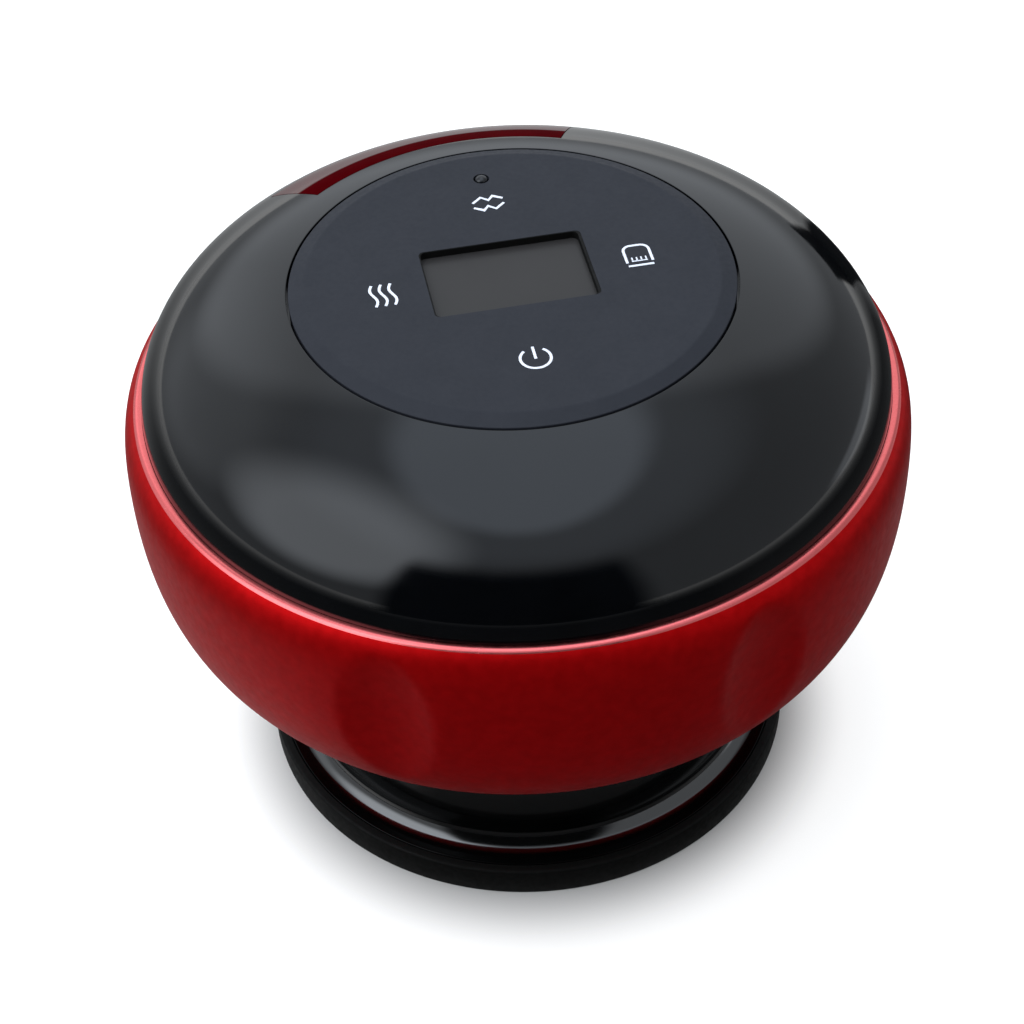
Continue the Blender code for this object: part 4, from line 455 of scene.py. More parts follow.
def bezier(first, second, third, fourth, steps):
    """Points along one cubic curve, both ends included."""
    points = []
    for step in range(steps + 1):
        t = step / steps
        shares = ((1 - t) ** 3, 3 * t * (1 - t) ** 2, 3 * t * t * (1 - t), t ** 3)
        pairs = list(zip(shares, (first, second, third, fourth)))
        points.append(tuple(sum(share * p[axis] for share, p in pairs) for axis in (0, 1)))
    return points


def arc(centre, radius, start, end, steps):
    """Points along an arc given in degrees, both ends included."""
    turns = [radians(start + (end - start) * step / steps) for step in range(steps + 1)]
    return [(centre[0] + radius * cos(a), centre[1] + radius * sin(a)) for a in turns]


def ease(share):
    """A share that starts and ends gently."""
    share = min(max(share, 0), 1)
    return share * share * (3 - 2 * share)


def offset(points, distance):
    """An open outline moved sideways, to the right of its direction of travel."""
    moved = []
    for index, point in enumerate(points):
        before = points[max(index - 1, 0)]
        after = points[min(index + 1, len(points) - 1)]
        along = Vector((after[0] - before[0], after[1] - before[1])).normalized()
        moved.append((point[0] + along.y * distance, point[1] - along.x * distance))
    return moved


def rounded(outline):
    """A closed outline in which corners that carry a third number are rounded by it."""
    points = []
    for index, point in enumerate(outline):
        corner = Vector(point[:2])
        if len(point) == 2:
            points.append(tuple(corner))
            continue
        before = Vector(outline[index - 1][:2])
        after = Vector(outline[(index + 1) % len(outline)][:2])
        start = corner + (before - corner).normalized() * point[2]
        end = corner + (after - corner).normalized() * point[2]
        for step in range(CORNER_STEPS + 1):
            t = step / CORNER_STEPS
            points.append(tuple(start.lerp(corner, t).lerp(corner.lerp(end, t), t)))
    return points


def rounded_rectangle(half_width, half_height, corner):
    """A flat outline with round corners, centred on the origin."""
    points = []
    for quarter, (x, y) in enumerate(((1, 1), (-1, 1), (-1, -1), (1, -1))):
        centre = (x * (half_width - corner), y * (half_height - corner))
        points += arc(centre, corner, quarter * QUARTER_TURN,
                      (quarter + 1) * QUARTER_TURN, 2 * CORNER_STEPS)
    return points


def shifted(outline, place):
    """A flat outline moved to a place."""
    return [(x + place[0], y + place[1]) for x, y in outline]


def bridge(shape, rings):
    """Faces from each ring of vertices to the next."""
    for near, far in zip(rings, rings[1:]):
        for index in range(len(near)):
            after = (index + 1) % len(near)
            shape.faces.new((near[index], far[index], far[after], near[after]))


def turned(name, outline, look, steps=TURN_STEPS, place=(0, 0), sector=None):
    """A body turned round the Z axis; sector is its first and last angle if not a full turn."""
    shape = bmesh.new()
    points = rounded(outline)
    start, end = sector or (0, tau)
    count = steps + 1 if sector else steps
    rings = []
    for step in range(count):
        angle = start + (end - start) * step / steps
        rings.append([shape.verts.new((place[0] + r * cos(angle), place[1] + r * sin(angle), z))
                      for r, z in points])
    bridge(shape, rings if sector else rings + rings[:1])
    if sector:
        shape.faces.new(rings[0])
        shape.faces.new(rings[-1])
    bmesh.ops.remove_doubles(shape, verts=shape.verts, dist=MERGE)
    bmesh.ops.dissolve_degenerate(shape, edges=shape.edges, dist=MERGE)
    return add_piece(name, shape, look)


def prism(name, outline, low, high, look):
    """A flat outline raised from low to high."""
    shape = bmesh.new()
    face = shape.faces.new([shape.verts.new((x, y, low)) for x, y in outline])
    raised = bmesh.ops.extrude_face_region(shape, geom=[face])["geom"]
    lifted = [item for item in raised if isinstance(item, bmesh.types.BMVert)]
    bmesh.ops.translate(shape, verts=lifted, vec=(0, 0, high - low))
    return add_piece(name, shape, look)


def combine(target, tool, operation):
    """Applies a boolean with the tool and removes the tool."""
    change = target.modifiers.new(operation.lower(), "BOOLEAN")
    change.operation = operation
    change.object = tool
    change.solver = "EXACT"
    evaluated = target.evaluated_get(bpy.context.evaluated_depsgraph_get())
    mesh = bpy.data.meshes.new_from_object(evaluated)
    target.modifiers.clear()
    target.data = mesh
    bpy.data.objects.remove(tool)
    return target


def add(target, tool):
    """Joins the tool to the target."""
    return combine(target, tool, "UNION")


def cut(target, tool):
    """Takes the tool's shape out of the target."""
    return combine(target, tool, "DIFFERENCE")


def grain(look, scale, detail, stretch=(1, 1, 1), kind=NOISE):
    """A texture node in the part's own coordinates; returns the socket of its values."""
    nodes, links = look.node_tree.nodes, look.node_tree.links
    where = nodes.new("ShaderNodeTexCoord")
    mapping = nodes.new("ShaderNodeMapping")
    mapping.inputs["Scale"].default_value = stretch
    texture = nodes.new(kind)
    texture.inputs["Scale"].default_value = scale
    if "Detail" in texture.inputs:
        texture.inputs["Detail"].default_value = detail
    links.new(where.outputs["Object"], mapping.inputs["Vector"])
    links.new(mapping.outputs["Vector"], texture.inputs["Vector"])
    return texture.outputs["Fac"] if "Fac" in texture.outputs else texture.outputs["Distance"]


def distance(look, axes):
    """The distance from the part's origin along the axes that are 1; returns its socket."""
    nodes, links = look.node_tree.nodes, look.node_tree.links
    where = nodes.new("ShaderNodeTexCoord")
    chosen = nodes.new("ShaderNodeVectorMath")
    chosen.operation = "MULTIPLY"
    chosen.inputs[1].default_value = axes
    length = nodes.new("ShaderNodeVectorMath")
    length.operation = "LENGTH"
    links.new(where.outputs["Object"], chosen.inputs[0])
    links.new(chosen.outputs["Vector"], length.inputs[0])
    return length.outputs["Value"]


def levels(look, source, low, high, start, end):
    """Turns a source that runs from start to end into a level from low to high."""
    nodes, links = look.node_tree.nodes, look.node_tree.links
    span = nodes.new("ShaderNodeMapRange")
    span.inputs["From Min"].default_value = start
    span.inputs["From Max"].default_value = end
    span.inputs["To Min"].default_value = low
    span.inputs["To Max"].default_value = high
    links.new(source, span.inputs["Value"])
    return span.outputs["Result"]


def drive(look, socket, source):
    """Links a source to one value of the shader."""
    nodes, links = look.node_tree.nodes, look.node_tree.links
    links.new(source, nodes["Principled BSDF"].inputs[socket])


def mottle(look, source, dark, light, start, end):
    """Colours the shader between two colours by a texture."""
    ramp = look.node_tree.nodes.new("ShaderNodeValToRGB")
    low, high = ramp.color_ramp.elements
    low.position, high.position = start, end
    low.color, high.color = (*dark, 1.0), (*light, 1.0)
    look.node_tree.links.new(source, ramp.inputs["Fac"])
    drive(look, "Base Color", ramp.outputs["Color"])


def relief(look, source, height, strength):
    """Bumps the surface by a texture."""
    bump = look.node_tree.nodes.new("ShaderNodeBump")
    bump.inputs["Strength"].default_value = strength
    bump.inputs["Distance"].default_value = height
    look.node_tree.links.new(source, bump.inputs["Height"])
    drive(look, "Normal", bump.outputs["Normal"])


def make_finish(name, finish):
    """A material on the principled shader, from its entry among the finishes."""
    look = bpy.data.materials.new(name + "_finish")
    look.use_nodes = True
    sockets = look.node_tree.nodes["Principled BSDF"].inputs
    for socket, value in finish.get("sockets", {}).items():
        sockets[socket].default_value = value
    mottle(look, grain(look, *finish["tint_grain"]), *finish["tint"],
           *finish.get("tint_span", GRAIN_SPAN))
    if "rough" in finish:
        rough = grain(look, *finish["rough_grain"])
        drive(look, "Roughness", levels(look, rough, *finish["rough"], *GRAIN_SPAN))
    if "relief" in finish:
        relief(look, grain(look, *finish["relief_grain"]), *finish["relief"])
    return look


def paint_foot_reflections(look):
    """Sets the cup's reflection strength by height: nearly none on top of its foot, a painted-out
    reflection, and most in the hollow above it, a painted highlight.
    """
    nodes, links = look.node_tree.nodes, look.node_tree.links
    height = distance(look, (0, 0, 1))
    reflection_level = levels(look, height, *FOOT_DULLED_REFLECTION, *(FLANGE_TOP_Z + rise for rise in FOOT_DULLED_REFLECTION_RISE))
    highlight_boost = levels(look, height, *FOOT_PAINTED_HIGHLIGHT, *(FLANGE_TOP_Z + rise for rise in FOOT_PAINTED_HIGHLIGHT_RISE))
    both = nodes.new("ShaderNodeMath")
    both.operation = "MULTIPLY_ADD"
    links.new(highlight_boost, both.inputs[0])
    links.new(reflection_level, both.inputs[1])
    links.new(reflection_level, both.inputs[2])
    drive(look, "Specular IOR Level", both.outputs["Value"])


def paint_inlay_fringe_sheen(look):
    """Lays a coat over the outer part of the inlay alone, which paints a lighter, reflecting
    fringe.
    """
    edge = OPENING_RADIUS + ACCENT_GAP + ACCENT_BAND
    coat = levels(look, distance(look, (1, 1, 0)), *ACCENT_FRINGE_SHEEN, edge, edge + ACCENT_BLEND)
    drive(look, "Coat Weight", coat)


def dress_cad_nodes(looks):
    """Gives each carried-over CAD node the finish of its slot."""
    for part in frame["record"]["subparts"]:
        node = frame["nodes"][part["node"]]
        for slot in node.material_slots:
            slot.material = looks[part["material_slot"]]
        shade(node.data)


def bowl_curve(steps):
    """Outside of the bowl from its widest line down to its floor."""
    floor = NECK_RADIUS + BOWL_FLOOR_STEP
    reach = BOWL_FLOOR_SHARE * (BODY_RADIUS - floor)
    side = BOWL_SIDE_SHARE * (WIDEST_Z - BOWL_BOTTOM_Z)
    return bezier((BODY_RADIUS, WIDEST_Z), (BODY_RADIUS, WIDEST_Z - side),
                  (floor + reach * cos(BOWL_FLOOR_TURN),
                   BOWL_BOTTOM_Z + reach * sin(BOWL_FLOOR_TURN)),
                  (floor, BOWL_BOTTOM_Z), steps)


def shoulder_curve():
    """Outside of the shell from its lip down to its widest line."""
    top = (BEAD_OUTER, SEAM_Z - BEAD_DROP)
    return bezier(top, (top[0] + SHOULDER_REACH * cos(SHOULDER_TURN),
                        top[1] - SHOULDER_REACH * sin(SHOULDER_TURN)),
                  (BODY_RADIUS, WIDEST_Z + SHOULDER_SIDE), (BODY_RADIUS, WIDEST_Z),
                  CURVE_STEPS // 2)


def press_dimples(shell):
    """Sinks the two finger dimples into the outside of the shell."""
    middle_z = WIDEST_Z - DIMPLE_DROP
    for vertex in shell.data.vertices:
        x, y, z = vertex.co
        radius = hypot(x, y)
        if radius < max(NECK_RADIUS + BOWL_FLOOR_STEP, BODY_RADIUS - DIMPLE_ZONE):
            continue
        for place in DIMPLE_TURNS:
            across = (atan2(x, -y) - place) * BODY_RADIUS
            span = hypot(across / DIMPLE_HALF_WIDTH, (z - middle_z) / DIMPLE_HALF_HEIGHT)
            flat = max(1 - span * span, 0)
            sink = DIMPLE_DEPTH * flat * ease(flat / DIMPLE_LIP_SHARE)
            vertex.co = vertex.co - Vector((x, y, 0)).normalized() * sink


def make_bead(look):
    """The smooth lip that frames the dome and rolls over into the shell's shoulder; its lighter,
    pinker paint is a painted highlight.
    """
    low = SEAM_Z - BEAD_DROP
    shoulder = shoulder_curve()
    along = Vector((shoulder[1][0] - BEAD_OUTER, shoulder[1][1] - low)).normalized()
    roll = (BEAD_OUTER - along.x * BEAD_ROLL, low - along.y * BEAD_ROLL)
    outline = [(BEAD_INNER, low)]
    outline += bezier((BEAD_INNER, SEAM_Z - BEAD_SAG), (BEAD_INNER + BEAD_FLAT, SEAM_Z), roll,
                      (BEAD_OUTER, low), CURVE_STEPS // 2)
    bead = turned("rim_bead", outline, look, SHELL_STEPS)
    return dress(tidy_normals(bead), "red_paint", "red_shell")


def make_shell(look):
    """The red bowl, hollow, with its dimples and its charging slot."""
    bowl = bowl_curve(SHELL_CURVE_STEPS)
    inside = [p for p in offset(bowl, SHELL_WALL) if p[1] > BOWL_BOTTOM_Z + SHELL_WALL]
    inside = inside[::INSIDE_STRIDE]
    hole = NECK_RADIUS + GAP
    ledge_z = SEAM_Z - LEDGE_DROP
    ledge = BEAD_INNER - LEDGE_WIDTH
    outline = [(BEAD_INNER, SEAM_Z - BEAD_DROP)] + shoulder_curve()[:-1] + bowl
    outline += [(hole, BOWL_BOTTOM_Z), (hole, BOWL_BOTTOM_Z + SHELL_WALL)] + inside[::-1]
    outline += [(ledge, ledge_z - LEDGE_WIDTH), (ledge, ledge_z), (BEAD_INNER, ledge_z)]
    shell = turned("red_bowl", outline, look, SHELL_STEPS)
    press_dimples(shell)
    half = ((SOCKET_HIGH.x - SOCKET_LOW.x) / 2 + SLOT_MARGIN,
            (SOCKET_HIGH.z - SOCKET_LOW.z) / 2 + SLOT_MARGIN)
    mouth = rounded_rectangle(*half, half[1] * SLOT_CORNER_SHARE)
    slot = prism("slot", mouth, 0, SLOT_DEPTH, look)
    slot.matrix_world = Matrix.Translation((0, BODY_RADIUS + OVERRUN, PORT_Z)) @ \
        Matrix.Rotation(pi / 2, 4, "X")
    bpy.context.view_layer.update()
    cut(shell, slot)
    return dress(tidy_normals(shell), "red_paint", "red_shell")


def dome_curve(steps):
    """Outside of the dome, from the panel's opening out to the seam."""
    reach = DOME_TOP_SHARE * (DOME_RADIUS - OPENING_RADIUS)
    height = DOME_TOP_Z - SEAM_Z
    return bezier((OPENING_RADIUS, DOME_TOP_Z),
                  (OPENING_RADIUS + reach * cos(DOME_TOP_TURN),
                   DOME_TOP_Z - reach * sin(DOME_TOP_TURN)),
                  (DOME_RADIUS, SEAM_Z + DOME_SIDE_SHARE * height), (DOME_RADIUS, SEAM_Z), steps)


def dome_stretch(inner, outer, depth):
    """The part of the dome's curve between two radii, sunk by a depth."""
    points = offset(dome_curve(2 * CURVE_STEPS), depth)
    kept = []
    for near, far in zip(points, points[1:]):
        for edge in (inner, outer):
            if near[0] < edge <= far[0]:
                share = (edge - near[0]) / (far[0] - near[0])
                kept.append((edge, near[1] + share * (far[1] - near[1])))
        if inner < far[0] < outer:
            kept.append(far)
    return sorted(kept)


def accent_outline(margin, depth, proud):
    """Outline of the inlay, or of its recess, across the dome's wall."""
    inner = OPENING_RADIUS + ACCENT_GAP - margin
    outer = OPENING_RADIUS + ACCENT_GAP + ACCENT_WIDTH + margin
    return dome_stretch(inner, outer, depth) + dome_stretch(inner, outer, -proud)[::-1]


def accent_sector(margin):
    """First and last angle of the inlay, or of its recess."""
    extra = margin / (OPENING_RADIUS + ACCENT_GAP)
    return pi / 2 - ACCENT_RIGHT - extra, pi / 2 + ACCENT_LEFT + extra


def make_dome(look):
    """The glossy dome with its snap skirt, its seat for the panel and the inlay's recess."""
    skirt = DOME_RADIUS - SKIRT_INSET
    rim_z = SEAM_Z - DOME_RIM_DROP
    seat_z = PANEL_LOW.z - GAP
    inside = [p for p in offset(dome_curve(CURVE_STEPS), DOME_WALL)
              if SEAM_Z < p[1] < seat_z - DOME_WALL]
    outline = [(*dome_curve(CURVE_STEPS)[0], DOME_EDGE)] + dome_curve(CURVE_STEPS)[1:]
    outline += [(DOME_RADIUS, rim_z), (skirt, rim_z), (skirt, DOME_LOW.z),
                (skirt - SKIRT_WALL, DOME_LOW.z), (skirt - SKIRT_WALL, rim_z)]
    outline += inside[::-INSIDE_STRIDE]
    outline += [(inside[0][0] - DOME_WALL / 2, seat_z - DOME_WALL),
                (OPENING_RADIUS - SEAT_WIDTH, seat_z - DOME_WALL),
                (OPENING_RADIUS - SEAT_WIDTH, seat_z), (OPENING_RADIUS, seat_z)]
    dome = turned("gloss_dome", outline, look)
    recess = accent_outline(ACCENT_SEAM, ACCENT_THICKNESS, OVERRUN)
    cut(dome, turned("recess", recess, look, ACCENT_STEPS, sector=accent_sector(ACCENT_SEAM)))
    return dress(tidy_normals(dome), "gloss_black", "dome_cover")


def make_accent(look):
    """The red inlay in the back of the dome."""
    accent = turned("rear_inlay", accent_outline(0, ACCENT_THICKNESS, 0), look, ACCENT_STEPS,
                    sector=accent_sector(0))
    return dress(tidy_normals(accent), "dark_red", "rear_accent")


def make_panel(look):
    """The touch panel with its sloped band, its window and the light pipe's hole."""
    flat = PANEL_RADIUS - PANEL_BAND
    outline = [(0, PANEL_TOP_Z), (flat, PANEL_TOP_Z, PANEL_EDGE),
               (PANEL_RADIUS, PANEL_TOP_Z - PANEL_BAND_DROP, PANEL_EDGE / 2),
               (PANEL_RADIUS, PANEL_LOW.z), (0, PANEL_LOW.z)]
    panel = turned("touch_face", outline, look)
    window = shifted(rounded_rectangle(*WINDOW_HALF, WINDOW_CORNER), WINDOW_PLACE)
    cut(panel, prism("window", window, PANEL_LOW.z - OVERRUN, PANEL_TOP_Z + OVERRUN, look))
    rebate = rounded_rectangle(LENS_HIGH.x + GAP, LENS_HIGH.y + GAP, WINDOW_CORNER)
    cut(panel, prism("rebate", rebate, PANEL_LOW.z - OVERRUN, PANEL_TOP_Z - WINDOW_DEPTH, look))
    hole = PIPE_RADIUS + PIPE_MARGIN
    cut(panel, turned("hole", [(0, PANEL_LOW.z - OVERRUN), (hole, PANEL_LOW.z - OVERRUN),
                               (hole, PANEL_TOP_Z + OVERRUN), (0, PANEL_TOP_Z + OVERRUN)],
                      look, PIPE_STEPS, (0, PIPE_PLACE)))
    return dress(tidy_normals(panel), "slate", "touch_panel")


def make_lens(look):
    """The smoked window, sunk behind the panel's opening."""
    outline = rounded_rectangle(LENS_HIGH.x, LENS_HIGH.y, WINDOW_CORNER)
    lens = prism("display_window", outline, LENS_LOW.z, LENS_HIGH.z, look)
    edge = lens.modifiers.new("edge", "BEVEL")
    edge.width = LENS_EDGE
    edge.segments = CORNER_STEPS // 2
    return dress(tidy_normals(lens), "smoked_window", "display_lens")


def make_window_lining(look):
    """The black wall round the sunk window, whose uneven widths paint the recess's shade as dark
    lines.
    """
    left, right, front, back = LINING_WALLS
    outside = shifted(rounded_rectangle(*WINDOW_HALF, WINDOW_CORNER), WINDOW_PLACE)
    inside = rounded_rectangle(WINDOW_HALF[0] - (left + right) / 2,
                               WINDOW_HALF[1] - (front + back) / 2, WINDOW_CORNER)
    inside = shifted(inside, (WINDOW_PLACE[0] + (left - right) / 2,
                              WINDOW_PLACE[1] + (front - back) / 2))
    shape = bmesh.new()
    rings = []
    for outline, z in ((outside, PANEL_TOP_Z - LINING_STEP), (inside, PANEL_TOP_Z - LINING_STEP),
                       (inside, LENS_HIGH.z), (outside, LENS_HIGH.z)):
        rings.append([shape.verts.new((x, y, z)) for x, y in outline])
    bridge(shape, rings + rings[:1])
    return dress(tidy_normals(add_piece("window_lining", shape, look)), "black_plastic")


def make_light_pipe(look):
    """The indicator's domed pin, on its wider foot."""
    foot = PIPE_HIGH.x
    foot_z = PANEL_LOW.z - GAP
    top_z = PIPE_HIGH.z
    outline = [(0, PIPE_LOW.z), (foot, PIPE_LOW.z), (foot, foot_z), (PIPE_RADIUS, foot_z)]
    outline += bezier((PIPE_RADIUS, top_z - PIPE_DOME), (PIPE_RADIUS, top_z - PIPE_DOME / 2),
                      (PIPE_RADIUS / 2, top_z), (0, top_z), CURVE_STEPS // 3)
    pipe = turned("light_pipe", outline, look, PIPE_STEPS, (0, PIPE_PLACE))
    return dress(tidy_normals(pipe), "black_plastic", "indicator_light_pipe")


def stroke(shape, line, width):
    """A printed line of even width laid on the panel."""
    points = [Vector(point) for point in line]
    lanes = []
    for index, point in enumerate(points):
        before = points[max(index - 1, 0)]
        after = points[min(index + 1, len(points) - 1)]
        along = (after - before).normalized()
        side = Vector((-along.y, along.x)) * width / 2
        if 0 < index < len(points) - 1:
            turn = (point - before).normalized().dot(along)
            side /= max(turn, SHARPEST_TURN_SHARE)
        lanes.append((point + side, point - side))
    top = PANEL_TOP_Z + INK_THICKNESS
    low = PANEL_TOP_Z - INK_THICKNESS
    rings = [[shape.verts.new((*lane[0], top)), shape.verts.new((*lane[1], top)),
              shape.verts.new((*lane[1], low)), shape.verts.new((*lane[0], low))]
             for lane in lanes]
    bridge(shape, rings)
    shape.faces.new(rings[0])
    shape.faces.new(rings[-1])


def print_symbol(name, strokes, look):
    """One printed symbol made of strokes, each a (line, width) pair."""
    shape = bmesh.new()
    for line, width in strokes:
        stroke(shape, line, width)
    return dress(add_piece(name, shape, look), "slate")


def power_symbol(look):
    """An open ring with a bar in its gap."""
    x, y = POWER_PLACE
    gap = degrees(POWER_GAP)
    ring = arc(POWER_PLACE, POWER_RADIUS, QUARTER_TURN + gap, 5 * QUARTER_TURN - gap,
               2 * SYMBOL_STEPS)
    bar = [(x, y + POWER_BAR[0]), (x, y + POWER_BAR[1])]
    return print_symbol("symbol_power", [(ring, INK_WIDTH), (bar, INK_WIDTH)], look)


def heat_symbol(look):
    """Three rising wavy lines."""
    lines = []
    for column in (-1, 0, 1):
        line = []
        for step in range(SYMBOL_STEPS + 1):
            share = step / SYMBOL_STEPS
            sway = HEAT_SWAY * sin(tau * share)
            line.append((HEAT_PLACE[0] + column * HEAT_STEP + sway,
                         HEAT_PLACE[1] + HEAT_HEIGHT * (share - 0.5)))
        lines.append((line, INK_WIDTH))
    return print_symbol("symbol_heat", lines, look)


def wave_symbol(look):
    """Two zigzag lines, one the other turned by half."""
    lines = []
    for way in (-1, 1):
        line = [(WAVE_PLACE[0] + way * x, WAVE_PLACE[1] + way * y) for x, y in WAVE_LINE]
        lines.append((line, INK_WIDTH))
    return print_symbol("symbol_wave", lines, look)


def cup_symbol(look):
    """A cup that stands on a bar, with a toothed line inside it."""
    x, y = CUP_SIGN_PLACE
    half, low, high = CUP_SIGN_WIDTH / 2, y + CUP_SIGN_LOW, y + CUP_SIGN_HIGH
    turn = half - CUP_SIGN_CORNER
    arch = [(x - half, low)]
    for side in (-1, 1):
        centre = (x + side * turn, high - CUP_SIGN_CORNER)
        start = QUARTER_TURN if side > 0 else 2 * QUARTER_TURN
        arch += arc(centre, CUP_SIGN_CORNER, start, start - QUARTER_TURN, 2 * CORNER_STEPS)
    arch.append((x + half, low))
    base, line = y + CUP_SIGN_BASE, y + CUP_SIGN_LINE
    strokes = [(arch, INK_WIDTH), ([(x - half, base), (x + half, base)], INK_WIDTH),
               ([(x - CUP_SIGN_LINE_HALF, line), (x + CUP_SIGN_LINE_HALF, line)], FINE_INK_WIDTH)]
    places, (foot, tip) = CUP_SIGN_TEETH
    for across in places:
        strokes.append(([(x + across, y + foot), (x + across, y + tip)], FINE_INK_WIDTH))
    return print_symbol("symbol_cup", strokes, look)


def make_cup(look):
    """Neck, flange and chamber of the cup, with its screw posts and filter socket."""
    inner = NECK_RADIUS - NECK_WALL
    ceiling = BOWL_BOTTOM_Z - CEILING_THICKNESS
    socket, socket_outer, depth = FILTER_SOCKET
    lip_z = BOWL_BOTTOM_Z + SHELL_WALL + GAP
    lip = NECK_RADIUS + LIP_REACH
    fillet = arc((NECK_RADIUS + FLANGE_FILLET, FLANGE_TOP_Z + FLANGE_FILLET), FLANGE_FILLET,
                 3 * QUARTER_TURN, 2 * QUARTER_TURN, 4 * CORNER_STEPS)
    outline = [(0, ceiling), (socket, ceiling), (socket, ceiling - depth),
               (socket_outer, ceiling - depth), (socket_outer, ceiling), (inner, ceiling),
               (inner, CUP_LOW.z), (FLANGE_RADIUS, CUP_LOW.z),
               (FLANGE_RADIUS, FLANGE_TOP_Z, FLANGE_EDGE)]
    outline += fillet + [(NECK_RADIUS, lip_z), (lip, lip_z), (lip, lip_z + LIP_THICKNESS),
                         (inner, lip_z + LIP_THICKNESS), (inner, BOWL_BOTTOM_Z),
                         (0, BOWL_BOTTOM_Z)]
    cup = turned("cup_body", outline, look)
    reach = inner - POST_INSET
    post = [(0, PLATE_HIGH.z + GAP), (POST_RADIUS, PLATE_HIGH.z + GAP),
            (POST_RADIUS, ceiling + GAP), (0, ceiling + GAP)]
    for turn in POST_TURNS:
        place = (reach * cos(radians(turn)), reach * sin(radians(turn)))
        add(cup, turned("post", post, look, POST_STEPS, place))
    return dress(tidy_normals(cup), "gloss_black", "cup")


def make_mouth_ring(look):
    """The soft ring under and round the flange, which rests on the skin."""
    inner = NECK_RADIUS - NECK_WALL - RING_REACH
    outer = RING_HIGH.x
    wall = FLANGE_RADIUS + RING_GAP
    top = CUP_LOW.z - RING_GAP
    outline = [(inner, top), (inner, RING_LOW.z, RING_ROUNDING),
               (outer, RING_LOW.z, RING_ROUNDING), (outer, FLANGE_TOP_Z, RING_ROUNDING),
               (wall, FLANGE_TOP_Z, RING_ROUNDING / 4), (wall, top)]
    ring = turned("mouth_lip", outline, look)
    return dress(tidy_normals(ring), "soft_black", "mouth_ring")


def make_spring(look):
    """The valve's return spring."""
    centre = (SPRING_LOW + SPRING_HIGH) / 2
    radius = SPRING_HIGH.x - centre.x - SPRING_WIRE
    low, high = SPRING_LOW.z + SPRING_WIRE, SPRING_HIGH.z - SPRING_WIRE
    shape = bmesh.new()
    rings = []
    for step in range(SPRING_TURNS * SPRING_STEPS + 1):
        angle = tau * step / SPRING_STEPS
        z = low + (high - low) * step / (SPRING_TURNS * SPRING_STEPS)
        section = arc((radius, z), SPRING_WIRE, 0, 4 * QUARTER_TURN, SPRING_SIDES)[:-1]
        rings.append([shape.verts.new((centre.x + r * cos(angle), centre.y + r * sin(angle), h))
                      for r, h in section])
    bridge(shape, rings)
    shape.faces.new(rings[0])
    shape.faces.new(rings[-1])
    spring = tidy_normals(add_piece("return_spring", shape, look))
    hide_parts("valve_spring")
    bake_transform(spring)


def seen_rays(nodes, links):
    """One for camera, glossy and transmission rays, and nothing for all others."""
    path = nodes.new("ShaderNodeLightPath")
    first = nodes.new("ShaderNodeMath")
    first.operation = "ADD"
    both = nodes.new("ShaderNodeMath")
    both.operation = "ADD"
    both.use_clamp = True
    links.new(path.outputs["Is Camera Ray"], first.inputs[0])
    links.new(path.outputs["Is Glossy Ray"], first.inputs[1])
    links.new(first.outputs["Value"], both.inputs[0])
    links.new(path.outputs["Is Transmission Ray"], both.inputs[1])
    return both.outputs["Value"]


def make_floor():
    """A wide pale floor that shows white and keeps the shadow, with painted shadow round the foot.
    """
    shape = bmesh.new()
    bmesh.ops.create_circle(shape, cap_ends=True, segments=FLOOR_STEPS, radius=FLOOR_RADIUS)
    bmesh.ops.translate(shape, verts=shape.verts, vec=(0, 0, FLOOR_Z))
    look = bpy.data.materials.new("floor_finish")
    look.use_nodes = True
    nodes, links = look.node_tree.nodes, look.node_tree.links
    nodes.clear()
    paper = nodes.new("ShaderNodeBsdfDiffuse")
    paper.inputs["Color"].default_value = (*FLOOR_COLOUR, 1.0)
    where = nodes.new("ShaderNodeTexCoord")
    reach = nodes.new("ShaderNodeVectorMath")
    reach.operation = "DISTANCE"
    reach.inputs[1].default_value = PAINTED_SHADOW_CENTRE
    # The glow fades towards the foot, which paints a dark contact shadow
    rise = nodes.new("ShaderNodeMapRange")
    rise.interpolation_type = "SMOOTHSTEP"
    rise.inputs["From Min"].default_value = PAINTED_SHADOW_RADIUS
    rise.inputs["From Max"].default_value = PAINTED_SHADOW_FADE_END
    rise.inputs["To Min"].default_value = FLOOR_LIFT_IN_PAINTED_SHADOW
    rise.inputs["To Max"].default_value = FLOOR_LIFT_FAR
    lift = nodes.new("ShaderNodeEmission")
    level = nodes.new("ShaderNodeMath")
    level.operation = "MULTIPLY"
    both = nodes.new("ShaderNodeAddShader")
    result = nodes.new("ShaderNodeOutputMaterial")
    links.new(where.outputs["Object"], reach.inputs[0])
    links.new(reach.outputs["Value"], rise.inputs["Value"])
    links.new(seen_rays(nodes, links), level.inputs[0])
    links.new(rise.outputs["Result"], level.inputs[1])
    links.new(level.outputs["Value"], lift.inputs["Strength"])
    links.new(paper.outputs["BSDF"], both.inputs[0])
    links.new(lift.outputs["Emission"], both.inputs[1])
    links.new(both.outputs["Shader"], result.inputs["Surface"])
    floor = add_piece("floor", shape, look)


def light_world():
    """A plain world of one level."""
    world = bpy.data.worlds.new("studio")
    world.use_nodes = True
    bpy.context.scene.world = world
    background = world.node_tree.nodes["Background"]
    background.inputs["Color"].default_value = WORLD_COLOUR
    background.inputs["Strength"].default_value = WORLD_LEVEL


def stage_point(turn, rise, distance):
    """A point round the object: turn is 0 before the camera and grows to its right."""
    angle = radians(turn) + CAMERA_TURN
    flat = distance * cos(radians(rise))
    return Vector((flat * sin(angle), -flat * cos(angle),
                   STAGE_CENTRE_Z + distance * sin(radians(rise))))


